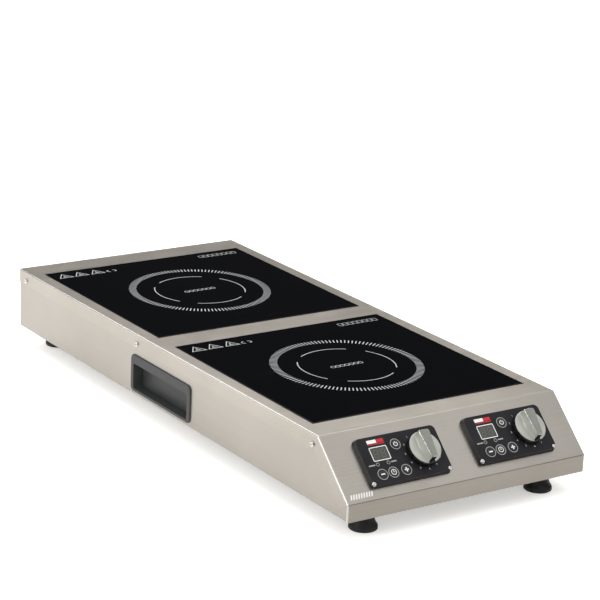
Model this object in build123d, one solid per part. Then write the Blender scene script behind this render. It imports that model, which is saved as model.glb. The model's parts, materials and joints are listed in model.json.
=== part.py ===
"""A two-zone countertop induction cooktop, one zone behind the other, as an assembly of separate pieces.

Frame: +X to the user's right, +Y to the back, +Z up. The origin is on the floor, midway between the
front face and the end of the cable gland. All sizes are in millimetres.
"""
import math
import os

from build123d import *

# ---- driving dimensions -------------------------------------------------------------------------
SHEET = 1.0             # stainless sheet
GAP = 0.2               # between the cover and what it slides over
BEND = 2.0              # outer bend radius of the folded sheet
WIDTH = 335.0
TOP_FLAT = 714.0        # depth of the level top
SLOPE_RUN = 63.3        # the sloping fascia, along Y
SLOPE_DROP = 59.3       # and down Z
BODY_HEIGHT = 80.0
FOOT_HEIGHT = 24.0
GLAND_OUT = 16.0        # how far the cable gland stands out of the back

GLASS = 300.0           # side of each square glass-ceramic panel
GLASS_THICK = 4.0
GLASS_PROUD = 0.4
FRONT_MARGIN = 35.0     # top fold to front glass
MIDDLE_MARGIN = 39.0    # between the two panels
SEAL_GAP = 0.8
SEAL_BED = 0.5
LEDGE = 10.0            # how much of each glass edge rests on the pressed ledge
FLANGE = 18.0           # turned-down edge of the cover
TOE_BACK = 6.6          # how far the sloping flange's lower end leans back up the slope
WALL_DROP = 1.2         # from the cover's inner face to the edge of what stands under it
REAR_FLANGE = 14.0      # the side walls turned in behind the rear panel
FRONT_LIP = 16.0        # the floor turned up behind the apron

# ---- places worked out from them ----------------------------------------------------------------
DEPTH = TOP_FLAT + SLOPE_RUN
Y_FRONT = -(DEPTH + GLAND_OUT) / 2
Y_FOLD = Y_FRONT + SLOPE_RUN
Y_REAR = Y_FRONT + DEPTH
Z_BASE = FOOT_HEIGHT
Z_TOP = Z_BASE + BODY_HEIGHT
Z_APRON = Z_TOP - SLOPE_DROP
SLOPE_ANGLE = math.atan2(SLOPE_DROP, SLOPE_RUN)
SLOPE_LENGTH = math.hypot(SLOPE_RUN, SLOPE_DROP)
ZONE_Y = {
    "front": Y_FOLD + FRONT_MARGIN + GLASS / 2,
    "rear": Y_FOLD + FRONT_MARGIN + GLASS + MIDDLE_MARGIN + GLASS / 2,
}
SIDE = {"left": -1, "right": 1}
WALL_X = WIDTH / 2 - SHEET - GAP            # outer face of the base pan's side walls
Z_GLASS = Z_TOP + GLASS_PROUD               # cooking surface
Z_UNDER_GLASS = Z_GLASS - GLASS_THICK
Z_LEDGE = Z_UNDER_GLASS - SEAL_BED          # upper face of the pressed ledge

# ---- control panels, in the plane of the sloping fascia -------------------------------------------
PANEL_X = 75.0          # each panel's centre from the middle of the cooktop
PANEL_UP = 42.7         # panel centre above the fascia's lower fold, measured up the slope
PANEL_W = 112.0
PANEL_H = 61.0
PANEL_THICK = 6.0
PANEL_DRAFT = 1.5
PANEL_CORNER = 7.0
PANEL_WALL = 2.0
CUTOUT_W = 98.0         # hole in the fascia behind a panel
CUTOUT_H = 46.0
KNOB_AT = (25.0, 0.4)
KNOB_RADIUS = 20.0
WINDOW_AT = (-29.2, 7.3)
WINDOW_SIZE = (21.0, 14.6)
BUTTONS = {"power": (-4.8, 14.7), "minus": (-36.8, -17.6), "timer": (-22.2, -17.6), "plus": (-4.8, -17.6)}
BUTTON_RADIUS = 5.5
BUTTON_CLEAR = 0.2
BUTTON_PROUD = 0.5
BUTTON_TRAVEL = 0.4
PANEL_SCREW_AT = (52.0, -26.3)              # mirrored to the other lower corner
BOARD_TOP = -6.4        # upper face of the control board
BOARD_THICK = 1.6
SHAFT_RADIUS = 3.0
SHAFT_FLAT = 1.0
RUNNING = 0.05          # radial clearance of a shaft in its bush

# ---- grips ----------------------------------------------------------------------------------------
GRIP_Y = Y_FOLD + 339.0
GRIP_Z = Z_TOP - 51.3
GRIP_W = 142.0
GRIP_H = 48.0
GRIP_PROUD = 2.0
GRIP_DEPTH = 14.0       # of the finger recess, from the bezel's face
GRIP_WALL = 2.0
MOUTH_W = 128.0
MOUTH_LOW = -20.0       # lower and upper edges of the mouth from the grip's centre
MOUTH_HIGH = 12.4
HOOK_HIGH = 20.0        # top of the pocket behind the upper lip
LIP_THICK = 3.0
GRIP_CUT_HALF = 66.0    # half the length of the cut-out in the wall
GRIP_CUT_CORNER = 2.0

# ---- cooling, coils and boards --------------------------------------------------------------------
COIL_RADIUS = 93.0
COIL_GAP = (50.0, 56.0)     # bare ring between the inner and the outer winding
COIL_HOLE = 26.0
COIL_THICK = 5.6
MICA_THICK = 0.5
CARRIER_THICK = 4.0
FERRITE = (62.0, 15.0, 5.0)
FERRITE_COUNT = 8
POST_RADIUS = 4.0
POST_CIRCLE = 90.0
FAN_SIZE = 92.0
FAN_DEPTH = 25.0
FAN_AT = (100.0, -70.0)     # from the zone's centre
FAN_BLADES = 7
POWER_BOARD_AT = (-58.0, 0.0)
POWER_BOARD = (170.0, 160.0, 1.6)
BOARD_STAND = 9.0
FOOT_RADIUS = 16.6
FOOT_NECK = 9.7
FOOT_INSET_X = 43.0
FOOT_INSET_FRONT = 29.0
FOOT_INSET_REAR = 31.0
FEET = {
    "front_left": (-WIDTH / 2 + FOOT_INSET_X, Y_FRONT + FOOT_INSET_FRONT),
    "front_right": (WIDTH / 2 - FOOT_INSET_X, Y_FRONT + FOOT_INSET_FRONT),
    "rear_left": (-WIDTH / 2 + FOOT_INSET_X, Y_REAR - FOOT_INSET_REAR),
    "rear_right": (WIDTH / 2 - FOOT_INSET_X, Y_REAR - FOOT_INSET_REAR),
}
FOOT_SCREW_RADIUS = 2.5
SIDE_SCREW_Y = (Y_FOLD + 9.0, Y_FOLD + 397.0, Y_FOLD + 694.0)
SIDE_SCREW_Z = Z_TOP - 12.3
SIDE_SCREW_RADIUS = 2.0
REAR_SCREWS = [(x, z) for x in (-158.0, 158.0) for z in (Z_BASE + 12.0, Z_BASE + 50.0)]
GLAND_X = 110.0
GLAND_Z = Z_BASE + 28.0
CABLE_RADIUS = 5.5

PIECES = {}


# ---- small helpers --------------------------------------------------------------------------------
def block(size, at, align=(Align.CENTER, Align.CENTER, Align.CENTER)):
    """A box of that size whose aligned point is at `at`."""
    return Pos(*at) * Box(*size, align=align)


def slab(width, height, z_low, z_high, corner=0.0, at=(0.0, 0.0)):
    """A plate with round corners, from z_low to z_high."""
    outline = RectangleRounded(width, height, corner) if corner else Rectangle(width, height)
    return extrude(Pos(at[0], at[1], z_low) * outline, amount=z_high - z_low)


def disc(radius, z_low, z_high, at=(0.0, 0.0)):
    """A round plate from z_low to z_high."""
    return Pos(at[0], at[1], z_low) * Cylinder(
        radius, z_high - z_low, align=(Align.CENTER, Align.CENTER, Align.MIN))


def profile_prism(points, half_width):
    """A closed outline in the YZ plane, drawn out to both sides of the middle."""
    face = make_face(Plane.YZ * Polyline(*points, close=True))
    return extrude(face, amount=half_width, both=True)


def union(shapes):
    """Fuses a list of touching shapes into one."""
    shapes = list(shapes)
    return shapes[0].fuse(*shapes[1:]) if len(shapes) > 1 else shapes[0]


def on_fascia(side):
    """The place of a control panel: X right, Y up the slope, Z out of the fascia."""
    normal = (0, -math.sin(SLOPE_ANGLE), math.cos(SLOPE_ANGLE))
    y = Y_FRONT + PANEL_UP * math.cos(SLOPE_ANGLE)
    z = Z_APRON + PANEL_UP * math.sin(SLOPE_ANGLE)
    return Plane(origin=(SIDE[side] * PANEL_X, y, z), x_dir=(1, 0, 0), z_dir=normal).location


def on_wall(side):
    """The place of a grip: X along the cooktop, Y up, Z out of the side wall."""
    x = SIDE[side] * WALL_X
    return Plane(origin=(x, GRIP_Y, GRIP_Z), x_dir=(0, SIDE[side], 0), z_dir=(SIDE[side], 0, 0)).location


def keep(name, shape):
    """Notes a finished piece under its node name."""
    PIECES[name] = shape


# ---- folded housing -------------------------------------------------------------------------------
def housing_profile(inset, z_low):
    """The side outline of the housing, drawn `inset` inside the sheet's outer face."""
    tangent = math.tan(SLOPE_ANGLE / 2)
    y_front = Y_FRONT + inset
    y_fold = Y_FOLD + inset * tangent
    z_top = Z_TOP - inset
    z_apron = Z_APRON - inset * math.tan(math.pi / 4 - SLOPE_ANGLE / 2)
    y_rear = Y_REAR - inset
    return [(y_rear, z_low), (y_rear, z_top), (y_fold, z_top), (y_front, z_apron), (y_front, z_low)]


def folded_prism(inset, radius, z_low):
    """The housing's outer form with its sheet bends rounded, `inset` inside the outer face."""
    body = profile_prism(housing_profile(inset, z_low), WIDTH / 2 - inset)
    level = z_low + SHEET
    bends = [e for e in body.edges() if e.center().Z > level and not is_upright(e)]
    return fillet(bends, radius)


def is_upright(edge):
    """True for an edge that runs straight up."""
    direction = edge.tangent_at(0.5)
    return abs(direction.Z) > 0.99


def flange_window():
    """What is cut from each side wall of the cover, so that only its turned-down flange is left."""
    along = Vector(0, -math.cos(SLOPE_ANGLE), -math.sin(SLOPE_ANGLE))
    inward = Vector(0, math.sin(SLOPE_ANGLE), -math.cos(SLOPE_ANGLE))
    corner = Vector(0, Y_FOLD, Z_TOP)
    mitre = corner + Vector(0, FLANGE * math.tan(SLOPE_ANGLE / 2), -FLANGE)
    toe = corner + along * (SLOPE_LENGTH - TOE_BACK) + inward * FLANGE * 0.9
    return [
        (Y_REAR + 1, Z_TOP - FLANGE), (mitre.Y, mitre.Z), (toe.Y, toe.Z),
        (Y_FRONT + SHEET + GAP, Z_APRON - SHEET), (Y_FRONT + SHEET + GAP, Z_BASE - 1),
        (Y_REAR + 1, Z_BASE - 1),
    ]


def mitre_slit():
    """The fine saw line between the level and the sloping flange, at the top fold."""
    reach = FLANGE * 1.4
    half = math.pi / 2 - SLOPE_ANGLE / 2
    start = 3.2
    centre = (start + reach) / 2
    middle = (0, Y_FOLD + centre * math.cos(half), Z_TOP - centre * math.sin(half))
    return Pos(*middle) * Rot(math.degrees(-half), 0, 0) * Box(WIDTH + 2, reach - start, 0.4)


def top_cover():
    """The stainless cover: a level top, and a fascia folded down into the front apron, both with flanges.

    The two sheets meet at the fold, where they are welded edge to edge and ground flush.
    """
    outer = folded_prism(0, BEND, Z_BASE)
    inner = folded_prism(SHEET, BEND - SHEET, Z_BASE - 5)
    cover = outer - inner
    window = profile_prism(flange_window(), WIDTH / 2 + 1)
    cover -= window - block((WIDTH - 2 * SHEET, DEPTH * 2, BODY_HEIGHT * 3), (0, 0, 0))
    cover -= block((WIDTH + 2, 40, BODY_HEIGHT), (0, Y_REAR - 10, Z_TOP - FLANGE),
                   (Align.CENTER, Align.CENTER, Align.MAX))
    cover -= mitre_slit()
    well = GLASS + 2 * SEAL_GAP
    for y in ZONE_Y.values():
        frame = slab(well + 2 * SHEET, well + 2 * SHEET, Z_LEDGE - SHEET, Z_TOP - SHEET / 2, 3.0, (0, y))
        cover += frame
        cover -= slab(well, well, Z_LEDGE, Z_TOP + 1, 2.0, (0, y))
        cover -= slab(GLASS - 2 * LEDGE, GLASS - 2 * LEDGE, Z_LEDGE - 5, Z_TOP, 6.0, (0, y))
    for side in SIDE:
        hole = slab(CUTOUT_W, CUTOUT_H, -4, 4, 3.0)
        for x in (-PANEL_SCREW_AT[0], PANEL_SCREW_AT[0]):
            hole += disc(1.6, -4, 4, (x, PANEL_SCREW_AT[1]))
        cover -= hole.moved(on_fascia(side))
    for y in SIDE_SCREW_Y:
        cover -= Pos(0, y, SIDE_SCREW_Z) * Rot(0, 90, 0) * Cylinder(SIDE_SCREW_RADIUS + GAP, WIDTH + 4)
    tangent = math.tan(SLOPE_ANGLE / 2)
    above, below, ahead = 5.0, 90.0, 50.0
    front_part = profile_prism([
        (Y_FOLD - above * tangent, Z_TOP + above), (Y_FOLD + below * tangent, Z_TOP - below),
        (Y_FRONT - ahead, Z_TOP - below), (Y_FRONT - ahead, Z_TOP + above)], WIDTH)
    keep("top_cover", cover - front_part)
    keep("fascia", cover & front_part)


def slots(count, pitch, length, width, z_low, z_high, at=(0.0, 0.0)):
    """A row of round-ended ventilation slots, as cutting tools."""
    first = -(count - 1) / 2 * pitch
    return [
        extrude(Pos(at[0] + first + i * pitch, at[1], z_low) * SlotOverall(length, width, rotation=90),
                amount=z_high - z_low)
        for i in range(count)
    ]


def lower_housing():
    """The welded lower housing: a floor with a front lip, and side walls with grip cut-outs and rear flanges.

    The floor's edges are turned up against the foot of each side wall and welded to it, ground flush. Each
    wall is four sheets butted edge to edge: in front of the grip, behind it, and a strip above and below it.
    """
    skin = SHEET + GAP
    points = housing_profile(SHEET + WALL_DROP, Z_BASE)
    y_front, y_rear = Y_FRONT + skin, Y_REAR - skin - SHEET - GAP
    points[0], points[1] = (y_rear, Z_BASE), (y_rear, points[1][1])
    points[3], points[4] = (y_front, points[3][1] - WALL_DROP), (y_front, Z_BASE)
    outer = profile_prism(points, WALL_X)
    outer = fillet([e for e in outer.edges().filter_by(Axis.Y) if e.center().Z < Z_BASE + 0.1], BEND)
    inner = block((2 * (WALL_X - SHEET), DEPTH * 2, BODY_HEIGHT * 2), (0, 0, Z_BASE + SHEET),
                  (Align.CENTER, Align.CENTER, Align.MIN))
    inner = fillet([e for e in inner.edges().filter_by(Axis.Y) if e.center().Z < Z_TOP], BEND - SHEET)
    inner -= block((WIDTH, SHEET, FRONT_LIP), (0, y_front + SHEET / 2, Z_BASE),
                   (Align.CENTER, Align.CENTER, Align.MIN))
    for way in SIDE.values():
        lip = (way * (WALL_X - REAR_FLANGE / 2), y_rear, Z_BASE)
        inner -= block((REAR_FLANGE, SHEET, BODY_HEIGHT * 2), lip, (Align.CENTER, Align.MAX, Align.MIN))
    pan = outer - inner
    for x, z in REAR_SCREWS:
        pan -= Pos(x, y_rear, z) * Rot(90, 0, 0) * Cylinder(1.7, 6.0)
    for side in SIDE:
        cut = slab(2 * GRIP_CUT_HALF, GRIP_H - 4.0, -3, 3, GRIP_CUT_CORNER)
        pan -= cut.moved(on_wall(side))
    for y in SIDE_SCREW_Y:
        pan -= Pos(0, y, SIDE_SCREW_Z) * Rot(0, 90, 0) * Cylinder(SIDE_SCREW_RADIUS + GAP, WIDTH)
    for x, y in FEET.values():
        pan -= disc(FOOT_SCREW_RADIUS + 0.25, Z_BASE - 1, Z_BASE + 2, (x, y))
    for y in ZONE_Y.values():
        for tool in slots(7, 11.0, 74.0, 5.0, Z_BASE - 1, Z_BASE + 2, (FAN_AT[0], y + FAN_AT[1])):
            pan -= tool
    seam = 2 * (WALL_X - SHEET)
    floor = block((seam, DEPTH * 2, BEND), (0, 0, Z_BASE), (Align.CENTER, Align.CENTER, Align.MIN))
    floor += block((seam, SHEET, FRONT_LIP), (0, y_front, Z_BASE), (Align.CENTER, Align.MIN, Align.MIN))
    keep("base_pan", pan & floor)
    walls = pan - floor
    beside_grip = block((WIDTH * 2, 2 * (GRIP_CUT_HALF - 1.0), BODY_HEIGHT * 3), (0, GRIP_Y, 0))
    for side, way in SIDE.items():
        half = block((WIDTH, DEPTH * 2, BODY_HEIGHT * 3), (way * WIDTH / 2, 0, 0))
        wall = walls & half
        keep(f"side_wall_{side}", Compound([*(wall - beside_grip).solids(), *(wall & beside_grip).solids()]))


def rear_panel():
    """The flat back sheet, with the warm-air slots, the gland hole and its screw holes."""
    y_face = Y_REAR - SHEET - GAP
    low = Z_BASE
    high = Z_TOP - SHEET - WALL_DROP
    panel = block((2 * WALL_X, SHEET, high - low), (0, y_face, low), (Align.CENTER, Align.MAX, Align.MIN))
    panel = fillet([e for e in panel.edges().filter_by(Axis.Y) if e.center().Z < Z_BASE + 1], BEND)
    stand = Pos(0, y_face + 1, 0) * Rot(90, 0, 0)
    for x in (-95.0, -15.0):
        for tool in slots(6, 10.0, 34.0, 4.5, 0, 4, (x, Z_BASE + 34.0)):
            panel -= stand * tool
    panel -= stand * disc(8.2, 0, 4, (GLAND_X, GLAND_Z))
    for x, z in REAR_SCREWS:
        panel -= stand * disc(1.7, 0, 4, (x, z))
    keep("rear_panel", panel)


def pan_head(radius, height, shank, length, at, location):
    """A pan-head screw with a cross recess: the head stands on local Z = 0, the shank goes down."""
    head = disc(radius, 0, height)
    head = fillet(head.edges().filter_by(GeomType.CIRCLE).sort_by(Axis.Z)[-1], height * 0.6)
    for turn in (0, 90):
        head -= Pos(0, 0, height) * Rot(0, 0, turn) * Box(radius, radius * 0.22, height)
    return (Pos(*at) * (head + disc(shank, -length, 0))).moved(location)


def screws():
    """All visible screws, each group in one node."""
    side_screws = []
    for name, way in SIDE.items():
        for y in SIDE_SCREW_Y:
            place = Plane(origin=(way * WIDTH / 2, y, SIDE_SCREW_Z), x_dir=(0, way, 0), z_dir=(way, 0, 0))
            side_screws.append(pan_head(3.4, 1.9, SIDE_SCREW_RADIUS, 7.0, (0, 0, 0), place.location))
    keep("cover_screws", Compound(side_screws))
    back = []
    for x, z in REAR_SCREWS:
        place = Plane(origin=(x, Y_REAR - SHEET - GAP, z), x_dir=(-1, 0, 0), z_dir=(0, 1, 0))
        back.append(pan_head(3.0, 1.8, 1.5, 7.0, (0, 0, 0), place.location))
    keep("rear_panel_screws", Compound(back))
    front = []
    for side in SIDE:
        for x in (-PANEL_SCREW_AT[0], PANEL_SCREW_AT[0]):
            at = (x, PANEL_SCREW_AT[1], PANEL_THICK - 2.2)
            front.append(pan_head(2.9, 1.9, 1.3, 9.0, at, on_fascia(side)))
    keep("panel_screws", Compound(front))
    under = []
    for x, y in FEET.values():
        place = Plane(origin=(x, y, 14.0), x_dir=(1, 0, 0), z_dir=(0, 0, -1))
        under.append(pan_head(4.4, 2.8, FOOT_SCREW_RADIUS, 16.0, (0, 0, 0), place.location))
    keep("foot_screws", Compound(under))


# ---- feet -----------------------------------------------------------------------------------------
def foot(x, y):
    """A bell-shaped rubber foot, hollow underneath for its screw."""
    rim = 4.0
    outline = Polyline((2.75, FOOT_HEIGHT), (FOOT_NECK, FOOT_HEIGHT))
    flare = Spline(
        (FOOT_NECK, FOOT_HEIGHT), (FOOT_RADIUS - 0.6, rim + 1.6),
        tangents=[(0.25, -1), (0.9, -1)])
    rest = Polyline(
        (FOOT_RADIUS - 0.6, rim + 1.6), (FOOT_RADIUS, rim), (FOOT_RADIUS, 1.0), (FOOT_RADIUS - 1.0, 0),
        (6.2, 0), (6.2, 14.0), (2.75, 14.0), (2.75, FOOT_HEIGHT))
    face = make_face(Plane.XZ * (outline + flare + rest))
    return Pos(x, y, 0) * revolve(face, Axis.Z)


def feet():
    """Four feet under the corners."""
    for name, (x, y) in FEET.items():
        keep(f"foot_{name}", foot(x, y))


# ---- glass and seals ------------------------------------------------------------------------------
def cooking_surfaces():
    """The two glass-ceramic panels and the silicone bead and bed that hold them."""
    well = GLASS + 2 * SEAL_GAP
    seals = []
    for zone, y in ZONE_Y.items():
        glass = slab(GLASS, GLASS, Z_UNDER_GLASS, Z_GLASS, 2.0, (0, y))
        glass = chamfer(glass.faces().sort_by(Axis.Z)[-1].edges(), 0.5)
        keep(f"glass_{zone}", glass)
        seal = slab(well, well, Z_LEDGE, Z_TOP - 0.1, 2.0, (0, y))
        seal -= slab(GLASS, GLASS, Z_UNDER_GLASS, Z_TOP + 1, 2.0, (0, y))
        seal -= slab(GLASS - 12.0, GLASS - 12.0, Z_LEDGE - 1, Z_TOP, 5.0, (0, y))
        seals.append(seal)
    keep("glass_seals", Compound(seals))


# ---- grips ----------------------------------------------------------------------------------------
def grip(side):
    """A moulded recessed grip: a bezel outside the wall and a tub with a finger hook behind its lip."""
    bezel = slab(GRIP_W, GRIP_H, 0, GRIP_PROUD, 7.0)
    bezel = fillet(bezel.faces().sort_by(Axis.Z)[-1].edges(), 1.2)
    back = GRIP_PROUD - GRIP_DEPTH - GRIP_WALL
    tub = slab(GRIP_W - 11.0, GRIP_H - 5.0, back, 0, 4.5)
    mouth_h = MOUTH_HIGH - MOUTH_LOW
    mouth = slab(MOUTH_W, mouth_h, GRIP_PROUD - GRIP_DEPTH, GRIP_PROUD + 1, 3.0, (0, MOUTH_LOW + mouth_h / 2))
    hook = block((MOUTH_W - 4.0, HOOK_HIGH - MOUTH_HIGH + 5.0, GRIP_DEPTH - LIP_THICK),
                 (0, HOOK_HIGH, GRIP_PROUD - GRIP_DEPTH), (Align.CENTER, Align.MAX, Align.MIN))
    return (bezel + tub - mouth - hook).moved(on_wall(side))


# ---- control panels -------------------------------------------------------------------------------
def panel_housing(side):
    """A moulded control housing: drafted shell, holes for window, keys, shaft and screws, four pillars."""
    base = RectangleRounded(PANEL_W, PANEL_H, PANEL_CORNER)
    face_w, face_h = PANEL_W - 2 * PANEL_DRAFT, PANEL_H - 2 * PANEL_DRAFT
    face = RectangleRounded(face_w, face_h, PANEL_CORNER - PANEL_DRAFT / 2)
    body = loft([base, Pos(0, 0, PANEL_THICK) * face])
    body = fillet(body.faces().sort_by(Axis.Z)[-1].edges(), 0.8)
    rim = PANEL_WALL + 3.0
    hollow = slab(PANEL_W - 2 * rim, PANEL_H - 2 * rim, -1, PANEL_THICK - PANEL_WALL, 4.0)
    for x in (-PANEL_SCREW_AT[0], PANEL_SCREW_AT[0]):
        hollow -= disc(5.0, -1, PANEL_THICK, (x, PANEL_SCREW_AT[1]))
    body -= hollow
    for x in (-46.0, 46.0):
        for y in (-19.0, 19.0):
            body += disc(2.4, BOARD_TOP, PANEL_THICK - PANEL_WALL / 2, (x, y))
    body -= slab(WINDOW_SIZE[0] + 0.2, WINDOW_SIZE[1] + 0.2, 0, PANEL_THICK + 1, 0.8, WINDOW_AT)
    for at in BUTTONS.values():
        body -= disc(BUTTON_RADIUS + BUTTON_CLEAR, 0, PANEL_THICK + 1, at)
    body -= disc(SHAFT_RADIUS + 1.5, 0, PANEL_THICK + 1, KNOB_AT)
    for x in (-PANEL_SCREW_AT[0], PANEL_SCREW_AT[0]):
        body -= disc(3.2, PANEL_THICK - 2.2, PANEL_THICK + 1, (x, PANEL_SCREW_AT[1]))
        body -= disc(1.6, -1, PANEL_THICK, (x, PANEL_SCREW_AT[1]))
    return body.moved(on_fascia(side))


def control_board(side):
    """The control board with its digit display and four key switches."""
    board = slab(96.0, 44.0, BOARD_TOP - BOARD_THICK, BOARD_TOP, 2.0)
    board -= disc(5.2, BOARD_TOP - 3, BOARD_TOP + 1, KNOB_AT)
    parts = [board, slab(19.0, 12.6, BOARD_TOP, PANEL_THICK - 3.4, 0.5, WINDOW_AT)]
    switch_top = PANEL_THICK + BUTTON_PROUD - 10.2
    parts += [slab(6.0, 6.0, BOARD_TOP, switch_top, 0.5, at) for at in BUTTONS.values()]
    return union(parts).moved(on_fascia(side))


def button(side, at):
    """A key cap: domed top, retaining collar under the face and a stem towards its switch."""
    top = PANEL_THICK + BUTTON_PROUD
    cap = disc(BUTTON_RADIUS, PANEL_THICK - PANEL_WALL - 0.2 - BUTTON_TRAVEL, top, at)
    cap = fillet(cap.edges().filter_by(GeomType.CIRCLE).sort_by(Axis.Z)[-1], 0.5)
    collar_top = PANEL_THICK - PANEL_WALL - 0.1
    collar = disc(BUTTON_RADIUS + 0.9, collar_top - 1.0, collar_top, at)
    stem = disc(1.8, top - 9.3, collar_top - 1.0, at)
    return (cap + collar + stem).moved(on_fascia(side))


def selector(side):
    """The twelve-position rotary switch: a round body under the board and its threaded bush."""
    under = BOARD_TOP - BOARD_THICK
    body = disc(13.0, under - 14.0, under, KNOB_AT)
    body += disc(4.2, under, PANEL_THICK - PANEL_WALL - 0.1, KNOB_AT)
    body -= disc(SHAFT_RADIUS + RUNNING, under - 10.0, PANEL_THICK + 1, KNOB_AT)
    return body.moved(on_fascia(side))


def selector_shaft(side):
    """The switch's steel shaft, with the flat that drives the knob."""
    foot_z = BOARD_TOP - BOARD_THICK - 9.8
    shaft = disc(SHAFT_RADIUS, foot_z, 17.0, KNOB_AT)
    flat_at = (KNOB_AT[0] + SHAFT_RADIUS - SHAFT_FLAT, KNOB_AT[1], 13.0)
    shaft -= block((4, 10, 9), flat_at, (Align.MIN, Align.CENTER, Align.CENTER))
    return shaft.moved(on_fascia(side))


def knob(side):
    """The selector knob: a deep black skirt, a round cap and a tapered finger bar across it."""
    low = PANEL_THICK + 0.6
    rim = 15.6
    high = 25.3
    skirt = disc(KNOB_RADIUS, low, rim - 1.2)
    cap = disc(KNOB_RADIUS - 0.3, rim - 1.2, rim)
    cap = fillet(cap.edges().filter_by(GeomType.CIRCLE).sort_by(Axis.Z)[-1], 0.5)
    foot_line = make_face(Polyline((-8.6, 17.6), (8.6, 17.6), (6.4, -18.2), (-6.4, -18.2), close=True))
    top_line = make_face(Polyline((-7.3, 17.0), (7.3, 17.0), (4.1, -16.9), (-4.1, -16.9), close=True))
    bar = loft([Pos(0, 0, rim - 0.6) * foot_line, Pos(0, 0, high) * top_line])
    bar = fillet(bar.faces().sort_by(Axis.Z)[-1].edges(), 0.6)
    whole = skirt + cap + bar
    whole -= disc(SHAFT_RADIUS + RUNNING, low - 1, 17.5)
    key_at = (SHAFT_RADIUS - SHAFT_FLAT + RUNNING, 0, 15.35)
    whole += block((4, 5.6, 4.3), key_at, (Align.MIN, Align.CENTER, Align.CENTER))
    return (Pos(KNOB_AT[0], KNOB_AT[1], 0) * whole).moved(on_fascia(side))


def control_panels():
    """Both control panels, with every piece that sits on them."""
    for side in SIDE:
        keep(f"panel_housing_{side}", panel_housing(side))
        window = slab(WINDOW_SIZE[0], WINDOW_SIZE[1], PANEL_THICK - 1.6, PANEL_THICK - 0.1, 0.7, WINDOW_AT)
        keep(f"display_window_{side}", window.moved(on_fascia(side)))
        keep(f"control_board_{side}", control_board(side))
        keep(f"selector_switch_{side}", selector(side))
        keep(f"selector_shaft_{side}", selector_shaft(side))
        keep(f"knob_{side}", knob(side))
        for name, at in BUTTONS.items():
            keep(f"button_{name}_{side}", button(side, at))


# ---- what is under each zone ----------------------------------------------------------------------
def spokes(count, radius, start=0.0):
    """The places of evenly spaced pieces round a centre, as turns about Z."""
    return [Rot(0, 0, start + 360.0 * i / count) * Pos(radius, 0, 0) for i in range(count)]


def coil_stack(zone):
    """Insulation sheet, two-part winding, its carrier with ferrite bars, the sensor and the posts.

    The pieces that both zones keep in one node are handed back.
    """
    centre = Pos(0, ZONE_Y[zone], 0)
    z_mica = Z_UNDER_GLASS - MICA_THICK
    z_coil = z_mica - COIL_THICK
    z_carrier = z_coil - CARRIER_THICK
    sheet = disc(102.0, z_mica, Z_UNDER_GLASS) - disc(14.0, z_mica - 1, Z_TOP)
    outer = disc(COIL_RADIUS, z_coil, z_mica) - disc(COIL_GAP[1], z_coil - 1, Z_TOP)
    inner = disc(COIL_GAP[0], z_coil, z_mica) - disc(COIL_HOLE, z_coil - 1, Z_TOP)
    keep(f"coil_{zone}", centre * Compound([outer, inner]))
    carrier = disc(98.0, z_carrier, z_coil) - disc(12.0, z_carrier - 1, Z_TOP)
    for place in spokes(12, 66.0, 15.0):
        carrier -= place * block((44.0, 9.0, 20.0), (0, 0, z_coil))
    keep(f"coil_carrier_{zone}", centre * carrier)
    bar = block(FERRITE, (0, 0, z_carrier - FERRITE[2] / 2))
    bars = [centre * place * bar for place in spokes(FERRITE_COUNT, 58.0, 180.0 / FERRITE_COUNT)]
    sensor = disc(9.0, z_coil, Z_UNDER_GLASS) + disc(5.5, z_carrier - 3.0, z_coil)
    keep(f"temperature_sensor_{zone}", centre * sensor)
    post = disc(POST_RADIUS, Z_BASE + SHEET, z_carrier)
    posts = [centre * place * post for place in spokes(4, POST_CIRCLE)]
    return {"insulation_sheets": [centre * sheet], "ferrite_bars": bars, "coil_posts": posts}


def power_board(zone):
    """The inverter board, with its capacitors, choke and rectifier, on four stand-offs."""
    x, y = POWER_BOARD_AT[0], ZONE_Y[zone] + POWER_BOARD_AT[1]
    low = Z_BASE + SHEET + BOARD_STAND
    top = low + POWER_BOARD[2]
    parts = [slab(POWER_BOARD[0], POWER_BOARD[1], low, top, 3.0, (x, y))]
    for dx in (-78.0, 78.0):
        for dy in (-72.0, 72.0):
            parts.append(disc(3.0, Z_BASE + SHEET, low, (x + dx, y + dy)))
    parts.append(slab(32.0, 18.0, top, top + 30.0, 1.5, (x - 55.0, y - 50.0)))
    parts.append(slab(26.0, 14.0, top, top + 22.0, 1.5, (x - 55.0, y - 20.0)))
    choke_at = (x - 55.0, y + 25.0)
    parts.append(disc(17.0, top, top + 16.0, choke_at) - disc(7.0, top, top + 20.0, choke_at))
    parts.append(disc(9.0, top, top + 26.0, (x - 60.0, y + 62.0)))
    board = union(parts)
    board -= disc(POST_RADIUS + 0.6, low - 1, top + 1, (-POST_CIRCLE, ZONE_Y[zone]))
    keep(f"power_board_{zone}", board)


def heat_sink(zone):
    """The finned aluminium heat sink on the inverter board, in the fan's air stream."""
    x, y = POWER_BOARD_AT[0] + 30.0, ZONE_Y[zone] - 42.0
    low = Z_BASE + SHEET + BOARD_STAND + POWER_BOARD[2]
    sink = slab(80.0, 56.0, low, low + 6.0, 0, (x, y))
    fins = [slab(80.0, 1.6, low + 5.0, low + 34.0, 0, (x, y - 27.0 + 6.0 * i)) for i in range(10)]
    keep(f"heat_sink_{zone}", union([sink] + fins))


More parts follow.
